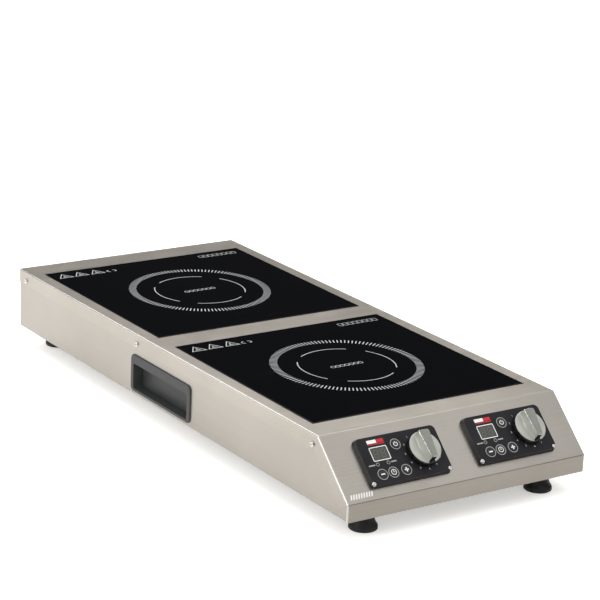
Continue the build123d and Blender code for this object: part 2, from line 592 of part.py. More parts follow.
def fan(zone):
    """An axial fan over the floor slots: frame with bearing tube, and its rotor."""
    x, y = FAN_AT[0], ZONE_Y[zone] + FAN_AT[1]
    low = Z_BASE + SHEET
    frame = slab(FAN_SIZE, FAN_SIZE, low, low + FAN_DEPTH, 6.0, (x, y))
    frame -= disc(FAN_SIZE / 2 - 2.5, low - 1, low + FAN_DEPTH + 1, (x, y))
    hub = disc(14.0, low, low + 3.0, (x, y)) + disc(4.0, low, low + 16.0, (x, y))
    struts = [Pos(x, y, 0) * Rot(0, 0, 45 + 90 * i) * block((36.0, 4.0, 3.0), (12.0, 0, low),
              (Align.MIN, Align.CENTER, Align.MIN)) for i in range(4)]
    frame = frame.fuse(hub, *struts)
    frame -= disc(1.5 + RUNNING, low + 1.0, low + 20.0, (x, y))
    keep(f"fan_frame_{zone}", frame)
    cup = disc(16.5, low + 4.0, low + 22.0) - disc(14.5, low + 3.0, low + 20.0)
    axle = disc(1.5, low + 1.2, low + 20.5)
    blade = Pos(27.5, 0, low + 13.0) * Rot(38, 0, 0) * Box(25.0, 21.0, 1.4)
    ring = disc(41.5, low + 4.0, low + 22.0) - disc(15.6, low + 3.0, low + 23.0)
    blades = [Rot(0, 0, 360.0 * i / FAN_BLADES) * (blade & ring) for i in range(FAN_BLADES)]
    keep(f"fan_rotor_{zone}", Pos(x, y, 0) * cup.fuse(axle, *blades))


# ---- mains entry and wiring -----------------------------------------------------------------------
def mains_entry():
    """Cable gland in the back, terminal block and mains filter behind it."""
    y_in = Y_REAR - SHEET - GAP
    place = Plane(origin=(GLAND_X, y_in, GLAND_Z), x_dir=(1, 0, 0), z_dir=(0, 1, 0)).location
    outside = GLAND_OUT + SHEET + GAP
    gland = extrude(RegularPolygon(12.0, 6), amount=6.0) + disc(9.8, 6.0, outside)
    gland = fillet(gland.edges().filter_by(GeomType.CIRCLE).sort_by(Axis.Z)[-1], 2.5)
    gland += disc(8.0, -12.0, 0)
    gland += extrude(Pos(0, 0, -SHEET - 5.0) * RegularPolygon(12.0, 6), amount=5.0)
    gland -= disc(CABLE_RADIUS, -20.0, outside + 5)
    keep("cable_gland", gland.moved(place))
    low = Z_BASE + SHEET
    terminals = slab(46.0, 20.0, low, low + 8.0, 1.5, (GLAND_X, Y_REAR - 62.0))
    for i in range(4):
        terminals += slab(9.0, 16.0, low + 7.0, low + 18.0, 1.0, (GLAND_X - 16.5 + 11.0 * i, Y_REAR - 62.0))
    keep("terminal_block", terminals)
    board = slab(84.0, 60.0, low + 6.0, low + 7.6, 2.0, (10.0, Y_REAR - 38.0))
    parts = [board]
    for dx in (-36.0, 36.0):
        for dy in (-24.0, 24.0):
            parts.append(disc(2.6, low, low + 6.0, (10.0 + dx, Y_REAR - 38.0 + dy)))
    parts.append(slab(30.0, 26.0, low + 7.6, low + 30.0, 3.0, (-8.0, Y_REAR - 38.0)))
    parts.append(slab(26.0, 12.0, low + 7.6, low + 27.0, 1.5, (28.0, Y_REAR - 48.0)))
    parts.append(slab(26.0, 10.0, low + 7.6, low + 24.0, 1.5, (28.0, Y_REAR - 26.0)))
    keep("mains_filter", union(parts))


def wire(points, radius, thick):
    """A round lead along straight runs joined by arcs."""
    path = FilletPolyline(*points, radius=radius)
    section = Plane(origin=path @ 0, z_dir=path % 0) * Circle(thick / 2)
    return sweep(section, path)


def mains_lead(lane, y_end):
    """A lead from the terminals, along the right wall and over to the edge of an inverter board."""
    z = Z_BASE + SHEET + 4.0 + 5.0 * lane
    x_start, x_lane = GLAND_X - 5.5 + 11.0 * lane, 158.0 - 5.5 * lane
    x_end = POWER_BOARD_AT[0] + POWER_BOARD[0] / 2 + 4.0
    y_block = Y_REAR - 72.0
    return wire([(x_start, y_block, z), (x_start, y_block - 14.0, z), (x_lane, y_block - 40.0, z),
                 (x_lane, y_end + 16.0, z), (x_end + 14.0, y_end, z), (x_end, y_end, z)], 8.0, 3.6)


def control_lead(start, between, x_end):
    """A lead from an inverter board's top to the back of a control board, which it meets square on."""
    end = on_fascia("left") * Pos(0, -5.0, BOARD_TOP - BOARD_THICK - 0.5)
    bend = end * Pos(0, 0, -20.0)
    tail = [(x_end, p.position.Y, p.position.Z) for p in (bend, end)]
    return wire([start] + between + tail, 6.0, 3.0)


def wiring():
    """The insulated leads inside: mains to both inverter boards, and signals to both control boards."""
    on_board = Z_BASE + SHEET + BOARD_STAND + POWER_BOARD[2] + 1.8
    near_floor = Z_BASE + SHEET + 2.6
    runs = [mains_lead(lane, y + 44.0) for lane, y in enumerate(ZONE_Y.values())]
    edge = ZONE_Y["rear"] - POWER_BOARD[1] / 2
    runs.append(control_lead((-130.0, edge + 8.0, on_board),
                             [(-130.0, edge - 12.0, on_board), (-149.0, edge - 27.0, near_floor),
                              (-149.0, Y_FRONT + 137.0, near_floor), (-100.0, Y_FRONT + 92.0, 42.0)], -100.0))
    edge = ZONE_Y["front"] - POWER_BOARD[1] / 2
    runs.append(control_lead((20.0, edge + 8.0, on_board),
                             [(20.0, edge - 12.0, on_board), (50.0, Y_FRONT + 97.0, 45.0)], 50.0))
    keep("internal_leads", Compound(runs))


def build():
    """Makes every piece and writes each to its own STEP file."""
    top_cover()
    lower_housing()
    rear_panel()
    screws()
    feet()
    cooking_surfaces()
    for side in SIDE:
        keep(f"grip_{side}", grip(side))
    control_panels()
    shared = {}
    for zone in ZONE_Y:
        for name, pieces in coil_stack(zone).items():
            shared.setdefault(name, []).extend(pieces)
        power_board(zone)
        heat_sink(zone)
        fan(zone)
    for name, pieces in shared.items():
        keep(name, Compound(pieces))
    mains_entry()
    wiring()
    os.makedirs("parts", exist_ok=True)
    for name, shape in PIECES.items():
        shape.label = name
        export_step(shape, f"parts/{name}.step")


build()
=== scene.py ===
"""A two-zone countertop induction cooktop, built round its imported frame, in mm until a mesh is made."""
import json
import math

import bmesh
import bpy
import numpy as np
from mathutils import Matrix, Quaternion, Vector


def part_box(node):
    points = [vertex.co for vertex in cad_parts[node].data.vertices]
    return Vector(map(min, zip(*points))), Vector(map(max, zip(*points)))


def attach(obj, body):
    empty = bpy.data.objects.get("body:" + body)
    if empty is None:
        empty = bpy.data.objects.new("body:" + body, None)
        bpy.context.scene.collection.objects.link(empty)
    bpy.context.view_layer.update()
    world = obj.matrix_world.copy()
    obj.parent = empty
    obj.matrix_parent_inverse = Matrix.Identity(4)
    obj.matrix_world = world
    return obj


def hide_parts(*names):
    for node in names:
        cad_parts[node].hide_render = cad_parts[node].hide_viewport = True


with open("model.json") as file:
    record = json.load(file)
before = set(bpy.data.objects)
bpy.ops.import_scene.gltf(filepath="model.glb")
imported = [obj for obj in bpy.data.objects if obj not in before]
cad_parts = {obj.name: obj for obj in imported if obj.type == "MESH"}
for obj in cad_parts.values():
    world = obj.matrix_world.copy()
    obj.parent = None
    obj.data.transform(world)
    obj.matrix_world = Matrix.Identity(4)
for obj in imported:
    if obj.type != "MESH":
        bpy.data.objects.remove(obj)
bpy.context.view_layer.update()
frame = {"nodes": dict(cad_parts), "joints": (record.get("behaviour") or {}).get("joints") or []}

# ---- Camera ------------------------------------------------------------------
# A long lens, low and from the front left, turned a little about its own axis as a hand-held camera is.
# It is placed from the fold between the level top and the sloping fascia, in the middle of the width.
MM = 0.001
LENS_MM = 138.0
SENSOR_MM = 36.0
CAMERA_AZIMUTH, CAMERA_ELEVATION, CAMERA_ROLL = math.radians(-34.39), math.radians(17.15), math.radians(2.56)
CAMERA_FROM_FOLD = Vector((-1523.8, -1935.8, 884.4)) * MM
SLOPE_RUN = 63.3
fascia_low, top_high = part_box("fascia")[0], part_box("top_cover")[1]
fold = Vector((0, fascia_low.y + SLOPE_RUN * MM, top_high.z))

scene = bpy.context.scene
camera = bpy.data.objects.new("camera", bpy.data.cameras.new("camera"))
scene.collection.objects.link(camera)
camera.data.lens = LENS_MM
camera.data.sensor_width = SENSOR_MM
camera.location = fold + CAMERA_FROM_FOLD
backwards = Vector((math.sin(CAMERA_AZIMUTH) * math.cos(CAMERA_ELEVATION),
                    -math.cos(CAMERA_AZIMUTH) * math.cos(CAMERA_ELEVATION), math.sin(CAMERA_ELEVATION)))
camera.rotation_mode = "QUATERNION"
camera.rotation_quaternion = (-backwards).to_track_quat("-Z", "Y") @ Quaternion((0, 0, 1), CAMERA_ROLL)
camera.data.clip_start, camera.data.clip_end = 0.05, 50
scene.camera = camera


# ---- Studio ------------------------------------------------------------------
# A pale matt floor under soft light: large boxes overhead and behind, smaller ones to the left and in front,
# and a world that is bright overhead and dark near the horizon, as black flags round a glass object make it.
# A grey card in front, seen only in reflections, keeps the steel apron from going as white as the floor.
def linear(code, alpha=1.0):
    """An sRGB hex code as a linear colour: each channel to the power 2.4 above the short straight toe."""
    channels = np.array([int(code[i:i + 2], 16) for i in (1, 3, 5)]) / 255
    bent = np.where(channels <= 0.04045, channels / 12.92, ((channels + 0.055) / 1.055) ** 2.4)
    return (*bent.tolist(), alpha)


def add(tree, kind, inputs=(), **settings):
    """Adds a shader node: settings are its own values. Inputs are its sockets' values, the sockets they come
    from, or nodes whose first output they take.
    A noise has 0 place, 2 scale, 3 detail, 4 roughness and 8 distortion. A map range has 0 value, 1 and 2 its
    old ends, 3 and 4 its new ones. A mix has 0 share, then 2 and 3 its numbers or 6 and 7 its colours.
    """
    made = tree.nodes.new("ShaderNode" + kind)
    for key, value in settings.items():
        setattr(made, key, value)
    for key, value in dict(inputs).items():
        if isinstance(value, bpy.types.Node):
            value = value.outputs[0]
        if isinstance(value, bpy.types.NodeSocket):
            tree.links.new(value, made.inputs[key])
        else:
            made.inputs[key].default_value = value
    return made


def new_material(name):
    """A material with nothing but an output: itself, its node tree, and the place on the object in metres."""
    material = bpy.data.materials.new(name)
    material.use_nodes = True
    material.node_tree.nodes.clear()
    material.node_tree.nodes.new("ShaderNodeOutputMaterial")
    return material, material.node_tree, add(material.node_tree, "TexCoord").outputs["Object"]


def show(tree, shader):
    """Joins a shader to the output of the material or the world."""
    output = next(n for n in tree.nodes if n.type.startswith("OUTPUT"))
    tree.links.new(shader.outputs[0], output.inputs[0])


FLOOR_COLOUR, FLOOR_REACH = "#F4F3F1", 12
GLOW_AROUND, GLOW_SEEN = 0.06, 0.45
CARD_COLOUR, CARD_FROM, CARD_TO = "#C4C2BF", -0.46, -0.30
SKY_COLOUR, SKY_SEEN, SKY_DIFFUSE = "#FFFFFF", 1.0, 1.05
SKY_LOW, SKY_HIGH, SKY_LOW_UNTIL, SKY_HIGH_FROM = 0.03, 0.74, 0.38, 0.72

scene.view_settings.view_transform = "Standard"
world = bpy.data.worlds.new("studio")
scene.world = world
world.use_nodes = True
sky = world.node_tree
sky.nodes.clear()
sky.nodes.new("ShaderNodeOutputWorld")
direction = add(sky, "TexCoord")
height = add(sky, "SeparateXYZ", {0: direction.outputs["Generated"]})
lift = add(sky, "MapRange", {0: height.outputs[2], 1: SKY_LOW_UNTIL, 2: SKY_HIGH_FROM,
                                       3: SKY_LOW, 4: SKY_HIGH}, interpolation_type="SMOOTHSTEP")
ray = add(sky, "LightPath")
soft = add(sky, "Mix", {0: ray.outputs["Is Diffuse Ray"], 2: lift, 3: SKY_DIFFUSE})
seen = add(sky, "Mix", {0: ray.outputs["Is Camera Ray"], 2: soft, 3: SKY_SEEN})
show(sky, add(sky, "Background", {0: linear(SKY_COLOUR), 1: seen}))

floor = bpy.data.objects.new("floor", bpy.data.meshes.new("floor"))
corners = [(-1, -1, 0), (1, -1, 0), (1, 1, 0), (-1, 1, 0)]
floor.data.from_pydata([Vector(corner) * FLOOR_REACH for corner in corners], [], [(0, 1, 2, 3)])
scene.collection.objects.link(floor)
floor_paint, tree, place = new_material("matt_pale_floor")
ahead = add(tree, "SeparateXYZ", {0: place})
card = add(tree, "MapRange", {0: ahead.outputs[1], 1: CARD_FROM, 2: CARD_TO, 3: 1.0, 4: 0.0},
           interpolation_type="SMOOTHSTEP")
ray = add(tree, "LightPath")
mirrored = add(tree, "Math", {0: ray.outputs["Is Glossy Ray"], 1: card},
               operation="MULTIPLY")
glow = add(tree, "Mix", {0: ray.outputs["Is Camera Ray"], 2: GLOW_AROUND, 3: GLOW_SEEN})
tone = add(tree, "Mix", {0: mirrored, 6: linear(FLOOR_COLOUR), 7: linear(CARD_COLOUR)}, data_type="RGBA")
show(tree, add(tree, "BsdfPrincipled", {
    "Base Color": tone.outputs[2], "Roughness": 0.9, "Specular IOR Level": 0.1,
    "Emission Color": linear(FLOOR_COLOUR), "Emission Strength": glow}))
floor.data.materials.append(floor_paint)


def soft_box(name, place, aim, size, power, colour):
    """A square area light at a place, pointing at another."""
    lamp = bpy.data.objects.new(name, bpy.data.lights.new(name, "AREA"))
    lamp.data.shape, lamp.data.size, lamp.data.size_y = "RECTANGLE", size[0], size[1]
    lamp.data.energy, lamp.data.color = power, linear(colour)[:3]
    lamp.location = place
    lamp.rotation_mode = "QUATERNION"
    lamp.rotation_quaternion = (Vector(aim) - Vector(place)).to_track_quat("-Z", "Y")
    scene.collection.objects.link(lamp)


soft_box("overhead_box", (0.3, 0.5, 2.6), (0, 0, 0), (2.6, 2.2), 18, "#FFFFFF")
soft_box("left_box", (-2.4, -0.45, 1.5), (0, -0.1, 0), (1.6, 1.4), 17, "#FFFDF8")
soft_box("front_box", (1.3, -1.3, 2.2), (0, -0.3, 0), (1.2, 1.0), 1.3, "#FFFFFF")
soft_box("rear_box", (1.25, 1.85, 1.9), (0, 0, 0.1), (1.8, 0.9), 12, "#FFFEFA")
soft_box("low_left_box", (-1.7, 1.0, 0.25), (0, 0, 0.05), (0.5, 0.35), 1.2, "#FFFDF8")
soft_box("bend_box", (-0.9, 2.4, 1.6), (0, 0, 0.1), (1.5, 0.5), 6, "#FFFFFF")


# ---- Top cover ---------------------------------------------------------------
# 1 mm stainless sheet: a level top and, welded to it edge to edge and ground flush, the sloping fascia with
# the front apron. Both have flanges turned down at the sides. It is brushed across, with a number 4 finish,
# and the die has left the side bends smoother; their lighter tint is a painted highlight.
SHEET = 1.0
BEND = 1.6
FLANGE = 18.0
TOE_DEPTH, TOE_BACK = 16.2, 6.6
SLIT = 0.5
SLOPE_DROP = 59.3
BODY_HEIGHT = 80.0
WIDTH = 2 * top_high.x / MM
Y_FRONT, Y_REAR = fascia_low.y / MM, top_high.y / MM
Y_FOLD, Z_TOP = fold.y / MM, fold.z / MM
Z_APRON, Z_BASE = Z_TOP - SLOPE_DROP, Z_TOP - BODY_HEIGHT
SLOPE = math.atan2(SLOPE_DROP, SLOPE_RUN)
BEND_STEPS = 6
GLASS_EDGE = [(low / MM, high / MM) for low, high in (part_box("glass_front"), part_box("glass_rear"))]
SEAL_GAP = 0.8
PANEL_CENTRE_X, PANEL_CENTRE_UP = 75.0, 42.7
CUTOUT_W, CUTOUT_H = 98.0, 46.0
EDGE_ROW, TAIL_GAP, FLANGE_ROW = 0.6, 0.4, 0.04


def grid_faces(rows, columns, wrap_rows=False, wrap_columns=False):
    """The quads of a grid of points numbered row by row, joined back to its start where it wraps."""
    r = np.arange(rows if wrap_rows else rows - 1)[:, None]
    c = np.arange(columns if wrap_columns else columns - 1)[None, :]
    r2, c2 = (r + 1) % rows, (c + 1) % columns
    corners = np.broadcast_arrays(r * columns + c, r2 * columns + c, r2 * columns + c2, r * columns + c2)
    return np.stack(corners, -1).reshape(-1, 4)


def make_piece(name, points, faces, body, slot, *materials, paints=None, smooth=35.0):
    """Welds points in mm and faces into one mesh, turns its faces outwards, and lets it ride on a body.

    With more than one material, `paints` holds the number of each face's own.
    """
    mesh = bpy.data.meshes.new(name)
    mesh.from_pydata((np.asarray(points) * MM).tolist(), [], [list(map(int, f)) for f in faces])
    if paints is not None:
        mesh.polygons.foreach_set("material_index", np.asarray(paints, np.int32))
    work = bmesh.new()
    work.from_mesh(mesh)
    bmesh.ops.remove_doubles(work, verts=work.verts, dist=1e-6)
    bmesh.ops.dissolve_degenerate(work, edges=work.edges, dist=1e-7)
    bmesh.ops.recalc_face_normals(work, faces=work.faces)
    work.to_mesh(mesh)
    work.free()
    return finish_piece(name, mesh, body, materials, smooth)


def finish_piece(name, mesh, body, materials, smooth=35.0):
    """Smooths a mesh except over edges sharper than the angle, paints it, and hangs it on its body."""
    mesh.shade_smooth()
    mesh.set_sharp_from_angle(angle=math.radians(smooth))
    piece = bpy.data.objects.new(name, mesh)
    scene.collection.objects.link(piece)
    paints = np.empty(len(mesh.polygons), np.int32)
    mesh.polygons.foreach_get("material_index", paints)
    mesh.materials.clear()
    for paint in materials:
        mesh.materials.append(paint)
    mesh.polygons.foreach_set("material_index", np.minimum(paints, len(materials) - 1))
    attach(piece, body)
    return piece


def applied(shape):
    """An object's mesh with its modifiers, or its curve, worked out."""
    bpy.context.view_layer.update()
    return bpy.data.meshes.new_from_object(shape.evaluated_get(bpy.context.evaluated_depsgraph_get()))


def thicken(piece, thickness):
    """Gives a surface its wall on the inside with Solidify, applied, so that the rims can be kept sharp."""
    wall = piece.modifiers.new("wall", "SOLIDIFY")
    wall.thickness, wall.offset = thickness * MM, -1.0
    wall.use_even_offset = True
    solid = applied(piece)
    piece.modifiers.clear()
    piece.data = solid
    solid.shade_smooth()
    solid.set_sharp_from_angle(angle=math.radians(40))


def fold_profile(inset):
    """The cover's side outline drawn in: rear bottom, rear top, fold, slope end and front bottom.

    At a corner the point moves along it by the inset times the tangent of half the turn.
    """
    at_fold, at_slope_end = math.tan(SLOPE / 2), math.tan(math.pi / 4 - SLOPE / 2)
    return np.array([(Y_REAR - inset, Z_TOP - FLANGE), (Y_REAR - inset, Z_TOP - inset),
                     (Y_FOLD + inset * at_fold, Z_TOP - inset),
                     (Y_FRONT + inset, Z_APRON - inset * at_slope_end), (Y_FRONT + inset, Z_BASE)])


def cover_surface():
    """The outer skin as rows along the side outline and columns across it.

    Each row has a bend centre, an outward direction and the flange's edge. Across, a column on the top is
    the centre moved out by the bend radius. Round a side bend it is the centre moved out by the cosine of the
    bend angle and sideways by its sine, and down a flange it slides from the centre to the flange's edge.
    Each face's paint is 1 round a side bend and 0 elsewhere.
    """
    centres = fold_profile(BEND)
    edge = fold_profile(FLANGE)
    mitre, slit = edge[2], np.array([SLIT / 2, 0])
    down = np.array([-math.cos(SLOPE), -math.sin(SLOPE)])
    inwards = np.array([math.sin(SLOPE), -math.cos(SLOPE)])
    slope_end = np.array([Y_FRONT, Z_APRON])
    toe = slope_end - down * TOE_BACK + inwards * TOE_DEPTH
    tail = np.array([centres[1][0] - TAIL_GAP, Z_TOP - FLANGE])
    turns = [0.0, math.pi / 2, math.pi / 2 + SLOPE, math.pi]
    glass_cuts = [y for low, high in GLASS_EDGE for y in (high[1] + SEAL_GAP, low[1] - SEAL_GAP)]
    panel_cuts = [PANEL_CENTRE_UP + CUTOUT_H / 2, PANEL_CENTRE_UP - CUTOUT_H / 2]
    rows = []
    for i in range(4):
        start, end = centres[i], centres[i + 1]
        length = np.linalg.norm(end - start)
        cuts = {1: [(start[0] - y) / length for y in glass_cuts],
                2: [1 - up / length for up in panel_cuts]}.get(i, [])
        near = EDGE_ROW / length
        along = sorted([0, near, 1 - near, 1] + cuts)
        flange_ends = {1: (tail, mitre + slit), 2: (mitre - slit, toe)}.get(i)
        for t in along:
            centre = start + (end - start) * t
            lip = centre if flange_ends is None else flange_ends[0] + (flange_ends[1] - flange_ends[0]) * t
            rows.append((*centre, turns[i], *lip))
        if i < 3:
            for k in range(1, BEND_STEPS):
                turn = turns[i] + (turns[i + 1] - turns[i]) * k / BEND_STEPS
                lip = end if i != 1 else (mitre + slit if k < BEND_STEPS / 2 else mitre - slit)
                rows.append((*end, turn, *lip))
    rows = np.array(rows)
    half = WIDTH / 2
    cuts = [PANEL_CENTRE_X + CUTOUT_W / 2, PANEL_CENTRE_X - CUTOUT_W / 2, GLASS_EDGE[0][1][0] + SEAL_GAP]
    right = [(x, 1.0, 0.0) for x in sorted([0.0, half - BEND - EDGE_ROW] + cuts)]
    bend = np.linspace(0, math.pi / 2, BEND_STEPS + 1)
    right += [(half - BEND + BEND * math.sin(a), math.cos(a), 0.0) for a in bend]
    right += [(half, 0.0, t) for t in (FLANGE_ROW, 1.0)]
    columns = np.array([(-x, c, t) for x, c, t in right[:0:-1]] + right)
    y0, z0, turn, ye, ze = rows.T[:, :, None]
    x, lift, slide = columns.T[:, None, :]
    y = y0 + BEND * np.cos(turn) * lift + (ye - y0) * slide
    z = z0 + BEND * np.sin(turn) * lift + (ze - z0) * slide
    points = np.stack(np.broadcast_arrays(x, y, z), -1).reshape(-1, 3)
    faces = grid_faces(len(rows), len(columns))
    middle = points[faces].mean(1)
    drop = np.zeros(len(faces), bool)
    for low, high in GLASS_EDGE:
        drop |= ((np.abs(middle[:, 0]) < high[0] + SEAL_GAP) & (middle[:, 1] > low[1] - SEAL_GAP)
                 & (middle[:, 1] < high[1] + SEAL_GAP) & (middle[:, 2] > Z_TOP - 0.1))
    up_slope = (middle[:, 2] - Z_APRON) / math.sin(SLOPE)
    drop |= ((np.abs(np.abs(middle[:, 0]) - PANEL_CENTRE_X) < CUTOUT_W / 2) & (middle[:, 1] < Y_FOLD)
             & (np.abs(up_slope - PANEL_CENTRE_UP) < CUTOUT_H / 2))
    # Round a side bend the paint is 1, the lighter tint that is a painted highlight.
    side_bend = (columns[:-1, 1] + columns[1:, 1] < 1.999) & (columns[:-1, 2] + columns[1:, 2] == 0)
    paints = np.tile(side_bend, len(rows) - 1).astype(int)
    on_flange = np.abs(middle[:, 0]) > half - 1e-4
    spread = np.ptp(points[faces][:, :, 1], axis=1)
    drop |= on_flange & (np.abs(middle[:, 1] - mitre[0]) < SLIT) & (spread < SLIT + 0.01)
    return points, faces[~drop], paints[~drop]


def brushed_stainless(name, brush, tint, roughness, depth):
    """AISI 304 sheet, brushed with a fine belt: long thin scratches that blur what it mirrors along one way.

    The brush gives how many scratches go into a metre each way: 45 to 70 mm long and 0.6 mm apart, coarser
    than the real 0.1 mm so that they still show, with broader bands of 2.4 mm. A soft cloudiness and a few
    faint handling marks break up the sheen.
    """
    paint, tree, place = new_material(name)
    stretched = add(tree, "Mapping", {0: place, 3: brush})
    fine = add(tree, "TexNoise", {0: stretched, 2: 1.0, 3: 3.0, 4: 0.6})
    coarse = add(tree, "TexNoise", {0: stretched, 2: 0.23, 3: 2.0, 4: 0.5})
    clouds = add(tree, "TexNoise", {0: place, 2: 9.0, 3: 2.0, 4: 0.5})
    smear = add(tree, "TexNoise", {0: place, 2: 38.0, 3: 4.0, 4: 0.6, 8: 1.2})
    grain = add(tree, "Math", {0: fine, 1: coarse}, operation="ADD")
    rough = add(tree, "MapRange", {0: grain, 1: 0.6, 2: 1.4, 3: roughness - 0.07, 4: roughness + 0.07})
    worn = add(tree, "MapRange", {0: smear, 1: 0.5, 2: 0.75, 3: 0.0, 4: 0.05})
    rough = add(tree, "Math", {0: rough, 1: worn}, operation="ADD")
    shade = add(tree, "MapRange", {0: clouds, 1: 0.35, 2: 0.65, 3: 0.3, 4: 0.7})
    streak = add(tree, "MapRange", {0: grain, 1: 0.7, 2: 1.3, 3: -0.3, 4: 0.3})
    mix = add(tree, "Math", {0: shade, 1: streak}, operation="ADD")
    colour = add(tree, "Mix", {0: mix, 6: linear(tint[0]), 7: linear(tint[1])}, data_type="RGBA")
    bump = add(tree, "Bump", {"Height": grain, "Strength": 0.35, "Distance": depth * MM})
    show(tree, add(tree, "BsdfPrincipled", {
        "Base Color": colour.outputs[2], "Metallic": 1.0, "Roughness": rough, "Normal": bump}))
    return paint


ACROSS = (22.0, 1800.0, 1800.0)
cover_steel = brushed_stainless("brushed_stainless_across", ACROSS, ("#B5AFA7", "#C6C0B8"), 0.36, 0.06)
# The side bends' lighter tint is a painted highlight, on a smoother finish.
side_bend_painted_highlight_steel = brushed_stainless("side_bend_painted_highlight", ACROSS, ("#E2DFDA", "#F0EEEA"), 0.2, 0.02)
points, faces, paints = cover_surface()
cover = make_piece("top_cover_sheet", points, faces, "housing", "stainless_sheet", cover_steel, side_bend_painted_highlight_steel,
                   paints=paints)
thicken(cover, SHEET)
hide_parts("top_cover", "fascia")


# ---- Lower housing -----------------------------------------------------------
# The floor, the side walls under the cover's flanges and the flat rear panel, all 1 mm stainless sheet.
# The walls are brushed along their length, and the floor is left as it comes from the mill.
def mill_finish(name, tint, roughness):
    """Sheet or bar as it leaves the mill: a soft grey sheen, cloudy over some 60 mm, with faint lines 2 mm
    apart and 33 mm long from the rolls or the die."""
    paint, tree, place = new_material(name)
    rolled = add(tree, "Mapping", {0: place, 3: (600.0, 30.0, 600.0)})
    lines = add(tree, "TexNoise", {0: rolled, 2: 1.0, 3: 2.0, 4: 0.5})
    clouds = add(tree, "TexNoise", {0: place, 2: 16.0, 3: 3.0, 4: 0.5})
    both = add(tree, "Math", {0: lines, 1: clouds}, operation="ADD")
    colour = add(tree, "Mix", {0: clouds, 6: linear(tint[0]), 7: linear(tint[1])}, data_type="RGBA")
    rough = add(tree, "MapRange", {0: both, 1: 0.6, 2: 1.4, 3: roughness - 0.06, 4: roughness + 0.06})
    bump = add(tree, "Bump", {"Height": lines, "Strength": 0.2, "Distance": 0.03 * MM})
    show(tree, add(tree, "BsdfPrincipled", {
        "Base Color": colour.outputs[2], "Metallic": 1.0, "Roughness": rough, "Normal": bump}))
    return paint


def coat(paint, *names):
    """Puts a finish on CAD nodes that keep their own shape."""
    for name in names:
        for holder in frame["nodes"][name].material_slots:
            holder.material = paint


def smoothed(name, paint, angle=32.0, body="housing"):
    """A CAD node's shape, welded and shaded smooth up to an angle, standing for the node."""
    mesh = frame["nodes"][name].data.copy()
    mesh.name = name + "_skin"
    work = bmesh.new()
    work.from_mesh(mesh)
    bmesh.ops.remove_doubles(work, verts=work.verts, dist=2e-6)
    work.to_mesh(mesh)
    work.free()
    if "custom_normal" in mesh.attributes:
        mesh.attributes.remove(mesh.attributes["custom_normal"])
    piece = finish_piece(name + "_skin", mesh, body, [paint], angle)
    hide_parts(name)
    return piece


ALONG, REAR_ACROSS = (1800.0, 14.0, 1800.0), (14.0, 1800.0, 1800.0)
wall_steel = brushed_stainless("brushed_stainless_walls", ALONG, ("#B4AFA8", "#C0BBB4"), 0.38, 0.05)
back_steel = brushed_stainless("brushed_stainless_rear", REAR_ACROSS, ("#C0BBB3", "#CFCAC2"), 0.38, 0.05)
floor_steel = mill_finish("mill_finish_stainless_floor", ("#A9A8A4", "#BDBCB8"), 0.42)
coat(wall_steel, "side_wall_left", "side_wall_right")
coat(floor_steel, "base_pan")
coat(back_steel, "rear_panel")


# ---- Screws ------------------------------------------------------------------
# M4 pan-head screws with a cross recess, zinc plated and bright, in the cover's flanges, the rear panel,
# the lower corners of the control panels and, longer, up through the feet.
def bright_plate(name, tint, roughness):
    """Bright zinc plate on turned steel: an even mirror, dulled in cloudy patches of 2 to 3 mm."""
    paint, tree, place = new_material(name)
    patches = add(tree, "TexNoise", {0: place, 2: 400.0, 3: 3.0, 4: 0.6})
    colour = add(tree, "Mix", {0: patches, 6: linear(tint[0]), 7: linear(tint[1])}, data_type="RGBA")
    rough = add(tree, "MapRange", {0: patches, 1: 0.3, 2: 0.7, 3: roughness - 0.06, 4: roughness + 0.08})
    show(tree, add(tree, "BsdfPrincipled", {
        "Base Color": colour.outputs[2], "Metallic": 1.0, "Roughness": rough}))
    return paint


zinc = bright_plate("bright_zinc_plate", ("#D9D9D6", "#F0F0EE"), 0.2)
for name in ("cover_screws", "rear_panel_screws", "panel_screws", "foot_screws"):
    smoothed(name, zinc)


# ---- Feet --------------------------------------------------------------------
# Four moulded rubber feet, cone-shaped with a rounded rim, one under each corner of the floor. Each is held
# by a screw up its middle.
def moulded(name, tints, grain, depth, roughness, gloss=0.5):
    """A moulded plastic or rubber: its surface is the spark-eroded grain of the mould, as small even pits.

    The grain is a noise of the given size in millimetres. A slower noise varies the colour and the gloss, as
    flow in the mould and handling do.
    """
    paint, tree, place = new_material(name)
    pits = add(tree, "TexNoise", {0: place, 2: 1000.0 / grain, 3: 2.0, 4: 0.55})
    flow = add(tree, "TexNoise", {0: place, 2: 45.0, 3: 4.0, 4: 0.6})
    tone = add(tree, "MapRange", {0: flow, 1: 0.3, 2: 0.7})
    colour = add(tree, "Mix", {0: tone, 6: linear(tints[0]), 7: linear(tints[1])}, data_type="RGBA")
    rough = add(tree, "MapRange", {0: flow, 1: 0.3, 2: 0.7, 3: roughness - 0.05, 4: roughness + 0.05})
    bump = add(tree, "Bump", {"Height": pits, "Strength": 0.5, "Distance": depth * MM})
    show(tree, add(tree, "BsdfPrincipled", {
        "Base Color": colour.outputs[2], "Roughness": rough, "Normal": bump, "Specular IOR Level": gloss}))
    return paint


foot_rubber = moulded("moulded_foot_rubber", ("#121213", "#1E1E1F"), 0.6, 0.03, 0.45, 0.6)
for corner in ("front_left", "front_right", "rear_left", "rear_right"):
    smoothed(f"foot_{corner}", foot_rubber, 40.0)


# ---- Grips -------------------------------------------------------------------
# A moulded ABS cup in each side wall, for lifting: a flat flange against the sheet, a shallow pocket and a
# hook along its upper edge.
SIDES = ("left", "right")
grip_plastic = moulded("textured_abs_grip", ("#343637", "#3F4141"), 0.5, 0.035, 0.45, 0.45)
for side in SIDES:
    smoothed(f"grip_{side}", grip_plastic)


